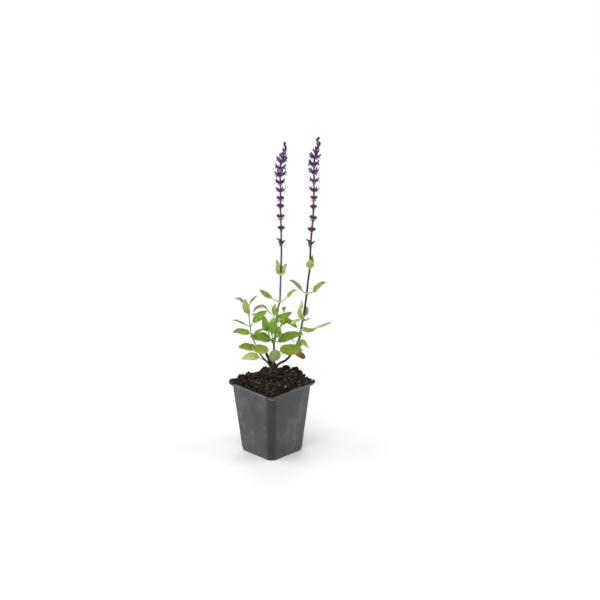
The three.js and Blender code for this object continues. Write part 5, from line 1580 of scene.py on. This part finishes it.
def calyx_shape(skin):
    """A ribbed, two-lipped calyx: three small teeth above, two longer ones below."""
    length, mouth, sides, rise, flat = 5.6, 1.65, 12, math.radians(32), 0.92
    shares, frames = side_frames([
        (length * s * math.cos(rise - lower), length * s * math.sin(rise - lower) + up)
        for s, lower, up in ((0, 0, 0), (0.3, 0.1, 0), (0.65, 0, 0), (1, 0, 0.1))
    ])
    # inside is painted shade: the skin within the mouth is about a third as bright
    dull, deep, inside = (0.95, 0.9, 0.9, 1), (0.55, 0.5, 0.6, 1), (0.3, 0.22, 0.26, 1)
    rings = []
    for share, (point, along, side, normal) in zip(shares, frames):
        grown = between((0.8, 1.25, 1.5, 1.62, mouth), share)
        tint = mixed(dull, deep, smooth_step(0.35, 1, share))
        ring = []
        for k, (a, b) in enumerate(circle(sides)):
            rib = 1 + 0.07 * (1 if k % 2 else -1) * smooth_step(0.1, 0.4, share)
            tooth = (1.0 if k % 2 else 0.1) * (0.55 if b > 0 else 0.95) if share == 1 else 0.0
            ring.append(skin.add(point + (side * a * flat + normal * b) * grown * rib + along * tooth, tint))
        rings.append(ring)
    # The mouth is open: at its lips the skin turns in, and inside it is painted dark as shade
    point, along, side, normal = frames[-1]
    for depth, narrow in ((0.25, 0.8), (1.6, 0.6), (2.4, 0.25)):
        rings.append([
            skin.add(point - along * depth + (side * a * flat + normal * b) * mouth * narrow, inside)
            for a, b in circle(sides)
        ])
    skin.join_rings(rings)


def corolla_open(skin):
    """The open flower: a sickle-shaped hood over a hanging three-lobed lip, with the style at its tip."""
    throat, base, lip = (0.85, 0.75, 0.95, 1), (0.95, 0.9, 1.1, 1), (1.25, 1.2, 1.45, 1)
    hood, style = ((0.8, 0.7, 0.9, 1), (0.62, 0.52, 0.72, 1)), ((1.3, 1.1, 1.3, 1), (1.6, 1.5, 1.6, 1))
    petal_tube(skin, [(2.8, 1.6), (4.2, 2.5), (5.0, 2.9)], 9, (throat, throat), (0.7, 0.95, 1.1))
    petal_tube(skin, [(4.4, 2.8), (5.7, 3.7), (6.9, 4.6), (7.7, 5.6), (8.0, 6.6)], 9, hood,
               (1.05, 1.1, 1.05, 0.9, 0.5), (1.1, 1.2, 1.2, 1.1, 0.5))
    petal_tube(skin, [(4.3, 2.3), (5.5, 2.2), (6.6, 1.5), (7.4, 0.4), (7.6, -0.8)], 9, (base, lip),
               (0.8, 1.0, 1.25, 1.5, 0.7), (0.55, 0.34, 0.26, 0.24, 0.2))
    shares = [k / 5 for k in range(6)]
    sizes = [(between((0.4, 0.6, 0.62, 0.3), s), between((0.3, 0.26, 0.22, 0.16), s)) for s in shares]
    lobe = [(4.9, 0.5, 2.3), (5.9, 1.25, 2.2), (6.6, 1.75, 1.5), (6.8, 2.0, 0.7)]
    for turn in (-1, 1):
        frames = carried_frames(Line([(x, y * turn, z) for x, y, z in lobe], 6), shares)
        skin.tube(frames, sizes, circle(6), [mixed(base, lip, s) for s in shares])
    petal_tube(skin, [(7.3, 5.6), (8.0, 6.7), (8.8, 7.3)], 4, style, (0.16, 0.13, 0.1))


def corolla_fading(skin):
    """A flower going over: a narrow shrunken hood and a curled lip."""
    dull, end, lip = (0.8, 0.62, 0.66, 1), (0.62, 0.5, 0.56, 1), (0.9, 0.75, 0.85, 1)
    petal_tube(skin, [(3.2, 2.0), (4.8, 2.9), (6.5, 3.9), (7.8, 5.2), (8.2, 6.0)], 8, (dull, end),
               (1.0, 0.95, 0.9, 0.8, 0.4), (1.05, 1.0, 0.95, 0.9, 0.4))
    petal_tube(skin, [(4.0, 1.9), (5.6, 1.7), (7.0, 0.9), (7.8, -0.3)], 8, (dull, lip),
               (0.7, 0.85, 0.95, 0.4), (0.45, 0.4, 0.36, 0.25))


def corolla_young(skin):
    """A flower about to open: a hooked club that rises out of the calyx."""
    base, end, lip = (0.9, 0.8, 1.0, 1), (0.62, 0.52, 0.8, 1), (1.2, 1.1, 1.4, 1)
    petal_tube(skin, [(3.0, 1.7), (5.0, 2.6), (6.6, 3.7), (7.3, 5.2), (7.0, 6.3)], 9, (base, end),
               (0.8, 1.1, 1.25, 1.1, 0.5), (0.8, 1.2, 1.35, 1.15, 0.5))
    petal_tube(skin, [(5.2, 2.3), (6.6, 2.3), (7.6, 1.6)], 7, (base, lip), (0.6, 0.7, 0.35), (0.3, 0.3, 0.2))


def bud_shape(skin):
    """A closed bud in its calyx, its tip curved in."""
    dull, deep = (0.8, 0.65, 0.75, 1), (0.45, 0.36, 0.5, 1)
    petal_tube(skin, [(0, 0), (1.9, 1.0), (3.4, 2.2), (4.3, 3.7), (3.9, 5.2)], 9, (dull, deep),
               (0.7, 1.5, 1.75, 1.4, 0.35))


def keeled(skin, points, half, section, thick, tint_of):
    """A pointed blade: its half widths at even steps along its line, and its section for a half width of 1,
    which lies midway between its faces, with half the thickness."""
    line, last = Line(points), len(half) - 1
    rings = []
    for k, wide in enumerate(half):
        point, along = line.at(k / last), line.along(k / last)
        normal, tint = along.cross(ACROSS), tint_of(k / last)
        rings.append([
            skin.add(point + ACROSS * a * wide - normal * (b * wide + way * thick), tint)
            for way, row in ((-1, section), (1, section[::-1])) for a, b in row
        ])
    skin.join_rings(rings)


def bract_shape(skin):
    """A small pointed, keeled bract that stands out and turns down at its tip."""
    pale, pink = (1.0, 1.0, 0.95, 1), (0.85, 0.7, 0.8, 1)
    section = [(-1, 0.35), (-0.5, 0.1225), (0, 0), (0.5, 0.1225), (1, 0.35)]
    keeled(skin, [(0, 0, -2.4), (1.3, 0, -1.7), (2.8, 0, -0.7), (4.6, 0, -0.3)],
           (0.7, 1.35, 1.7, 1.75, 1.5, 1.1, 0.6, 0.08), section, 0.14, lambda share: mixed(pale, pink, share))


def leafy_bract_shape(skin):
    """The lowest, larger bract: a narrow folded leaf that stands up beside the stem."""
    pale, deep, rise = (1.15, 1.2, 0.95, 1), (0.6, 0.5, 0.65, 1), math.radians(50)
    route = [
        (0, 0, 0), (2.6 * math.cos(rise), 0, 2.4), (6.2 * math.cos(rise), 0, 6.0 * math.sin(rise)),
        (10 * math.cos(rise - 0.12), 0, 10.4 * math.sin(rise)),
    ]
    section = [(1, -1.15), (0.55, -0.69), (0, 0), (-0.55, -0.69), (-1, -1.15)]
    keeled(skin, route, (1.3, 1.85, 2.25, 2.45, 2.45, 2.3, 2.0, 1.55, 1.0, 0.5, 0.08), section, 0.17,
           lambda share: mixed(pale, deep, smooth_step(0.1, 0.8, share)))


def prototype(builder):
    """A flower shape as an object, which the spikes' points repeat."""
    skin = Skin()
    builder(skin)
    obj = outward_facing(make_object(builder.__name__, skin, in_pot_frame=True))
    obj.data.attributes["tint"].name = "petal"
    return obj


# ---------------------------------------------------------------- spikes
CALYX = 0
OPEN, FADING, YOUNG, BUD = range(4)
SMALL_BRACT, LEAFY_BRACT = range(2)
FLOWERING = {"open": OPEN, "fading": FADING, "young": YOUNG}
UNEVEN = 16  # degrees over which the flowers of a whorl vary
FLOWER_TONES = painted({
    "calyx": ("#783260", "#622656", "#86466c", "#6e2e5c"),
    "violet": ("#58266a", "#481a58", "#683478", "#5c2460"),
    "bud": ("#6e2868", "#7a3474", "#5a2058"),
    "open": ("#5e2878", "#6a3088", "#502066", "#764092"),
    "fading": ("#5e226c", "#6e3082", "#521c5c"),
    "young": ("#5e2872", "#522066", "#6a3284"),
    "bract": ("#8c5070", "#945c76", "#7c4462", "#9c6880"),
    "leafy": ("#43283c", "#3c3e2e"),
})


def spike_spots(name):
    """Where the flowers of a spike stand: the points of its calyces, of its corollas and of its bracts."""
    stem_name, seed, whorls = SPIKES[name]
    line = STEM_LINES[stem_name]
    draw, tints = draw_from(seed), random.Random(seed)
    calyces, corollas, bracts = [], [], []
    for index, (height, kind, *given) in enumerate(whorls):
        count, size, lift, bract_size = WHORL_KINDS[kind]
        share = line.share_at_height(height)
        point, lean = line.at(share), line.along(share)
        half = half_width(STEMS[stem_name], share)
        # Whorls stand crossed, unless an azimuth is given
        quarter = given[0] if given else 90 if index % 2 else 0
        first = quarter if count == 1 else quarter + 180 / count

        def turned(azimuth, tilt=0.0):
            outward = Vector((math.cos(azimuth), math.sin(azimuth), 0))
            droop = math.atan2(lean.dot(outward), lean.z)
            return point + outward * 0.5 * half, (0.0, 0.6 * droop - tilt, azimuth)

        for i in range(count):
            azimuth = math.radians(first + 360 / count * i + UNEVEN * (next(draw) - 0.5))
            tilt = math.radians(lift + UNEVEN * (next(draw) - 0.5))
            grown = size * (0.92 + 0.16 * next(draw))
            place, turn = turned(azimuth, tilt)
            tone = tints.choice(FLOWER_TONES["calyx" if kind in ("calyx", "leafy") else "violet"])
            if kind in ("bud", "last"):
                corollas.append((place, turn, grown, BUD, tints.choice(FLOWER_TONES["bud"])))
            else:
                calyces.append((place, turn, grown, CALYX, tone))
            if kind in FLOWERING:
                early = kind == "open" and tints.random() < 0.18
                shape = YOUNG if early else FLOWERING[kind]
                corollas.append((place, turn, grown, shape, tints.choice(FLOWER_TONES[kind])))
        for k, turn_by in enumerate((0, 180)):
            place, turn = turned(math.radians(quarter + turn_by))
            bracts.append((place, turn, bract_size, SMALL_BRACT, tints.choice(FLOWER_TONES["bract"])))
            if kind == "leafy":
                bracts.append((place, turn, 0.95 + 0.1 * k, LEAFY_BRACT, tints.choice(FLOWER_TONES["leafy"])))
    if name == "spike_left":
        height, azimuth, hanging, size = LOOSE_BRACT
        place = line.at(line.share_at_height(height))
        turn = (0.0, math.radians(hanging), math.radians(azimuth))
        bracts.append((place, turn, size, SMALL_BRACT, FLOWER_TONES["bract"][3]))
    return calyces, corollas, bracts


def make_spikes(stem_skin):
    shapes = {
        part: [prototype(builder) for builder in builders] for part, builders in {
            "calyces": (calyx_shape,),
            "corollas": (corolla_open, corolla_fading, corolla_young, bud_shape),
            "bracts": (bract_shape, leafy_bract_shape),
        }.items()
    }
    finishes = {
        "calyces": petal_finish("calyx_skin", "#a98aa0", "#2c1626", 0.5),
        "corollas": petal_finish("violet_petal", "#7d62ac", "#26103f", 0.48),
        "bracts": petal_finish("bract_skin", "#c4a9b8", "#4c2d40", 0.55),
    }
    trees = {part: placing_tree("set_" + part, len(made)) for part, made in shapes.items()}
    hairs = hair_tree()
    for name, (stem_name, *_) in SPIKES.items():
        skin = Skin()
        stem_rings(skin, stem_name, low=FLOWER_STEM_TOP + 0.3)
        settle(make_object("rachis_" + name, skin), stem_skin, "stem", name)
        for part, spots in zip(shapes, spike_spots(name)):
            given = dict(zip(shape_names(len(shapes[part])), shapes[part]), Finish=finishes[part])
            made = trees[part].run(point_cloud("spots", spots), f"{part}_{name}", **given)
            if part == "calyces":
                down = hairs.run(made, "down_" + name, keep=True, Seed=9, Finish=HAIR, **HAIRS["calyx"])
                settle(down, None, "flower", name)
            settle(made, None, "flower", name)
    for made in shapes.values():
        for shape in made:
            bpy.data.objects.remove(shape)


HAIR = hair_finish()
STEM_SKIN = stem_finish()
LEAF_SKIN = leaf_finish()
make_crown()
make_stems(STEM_SKIN)
make_leaves(LEAF_SKIN)
make_spikes(STEM_SKIN)
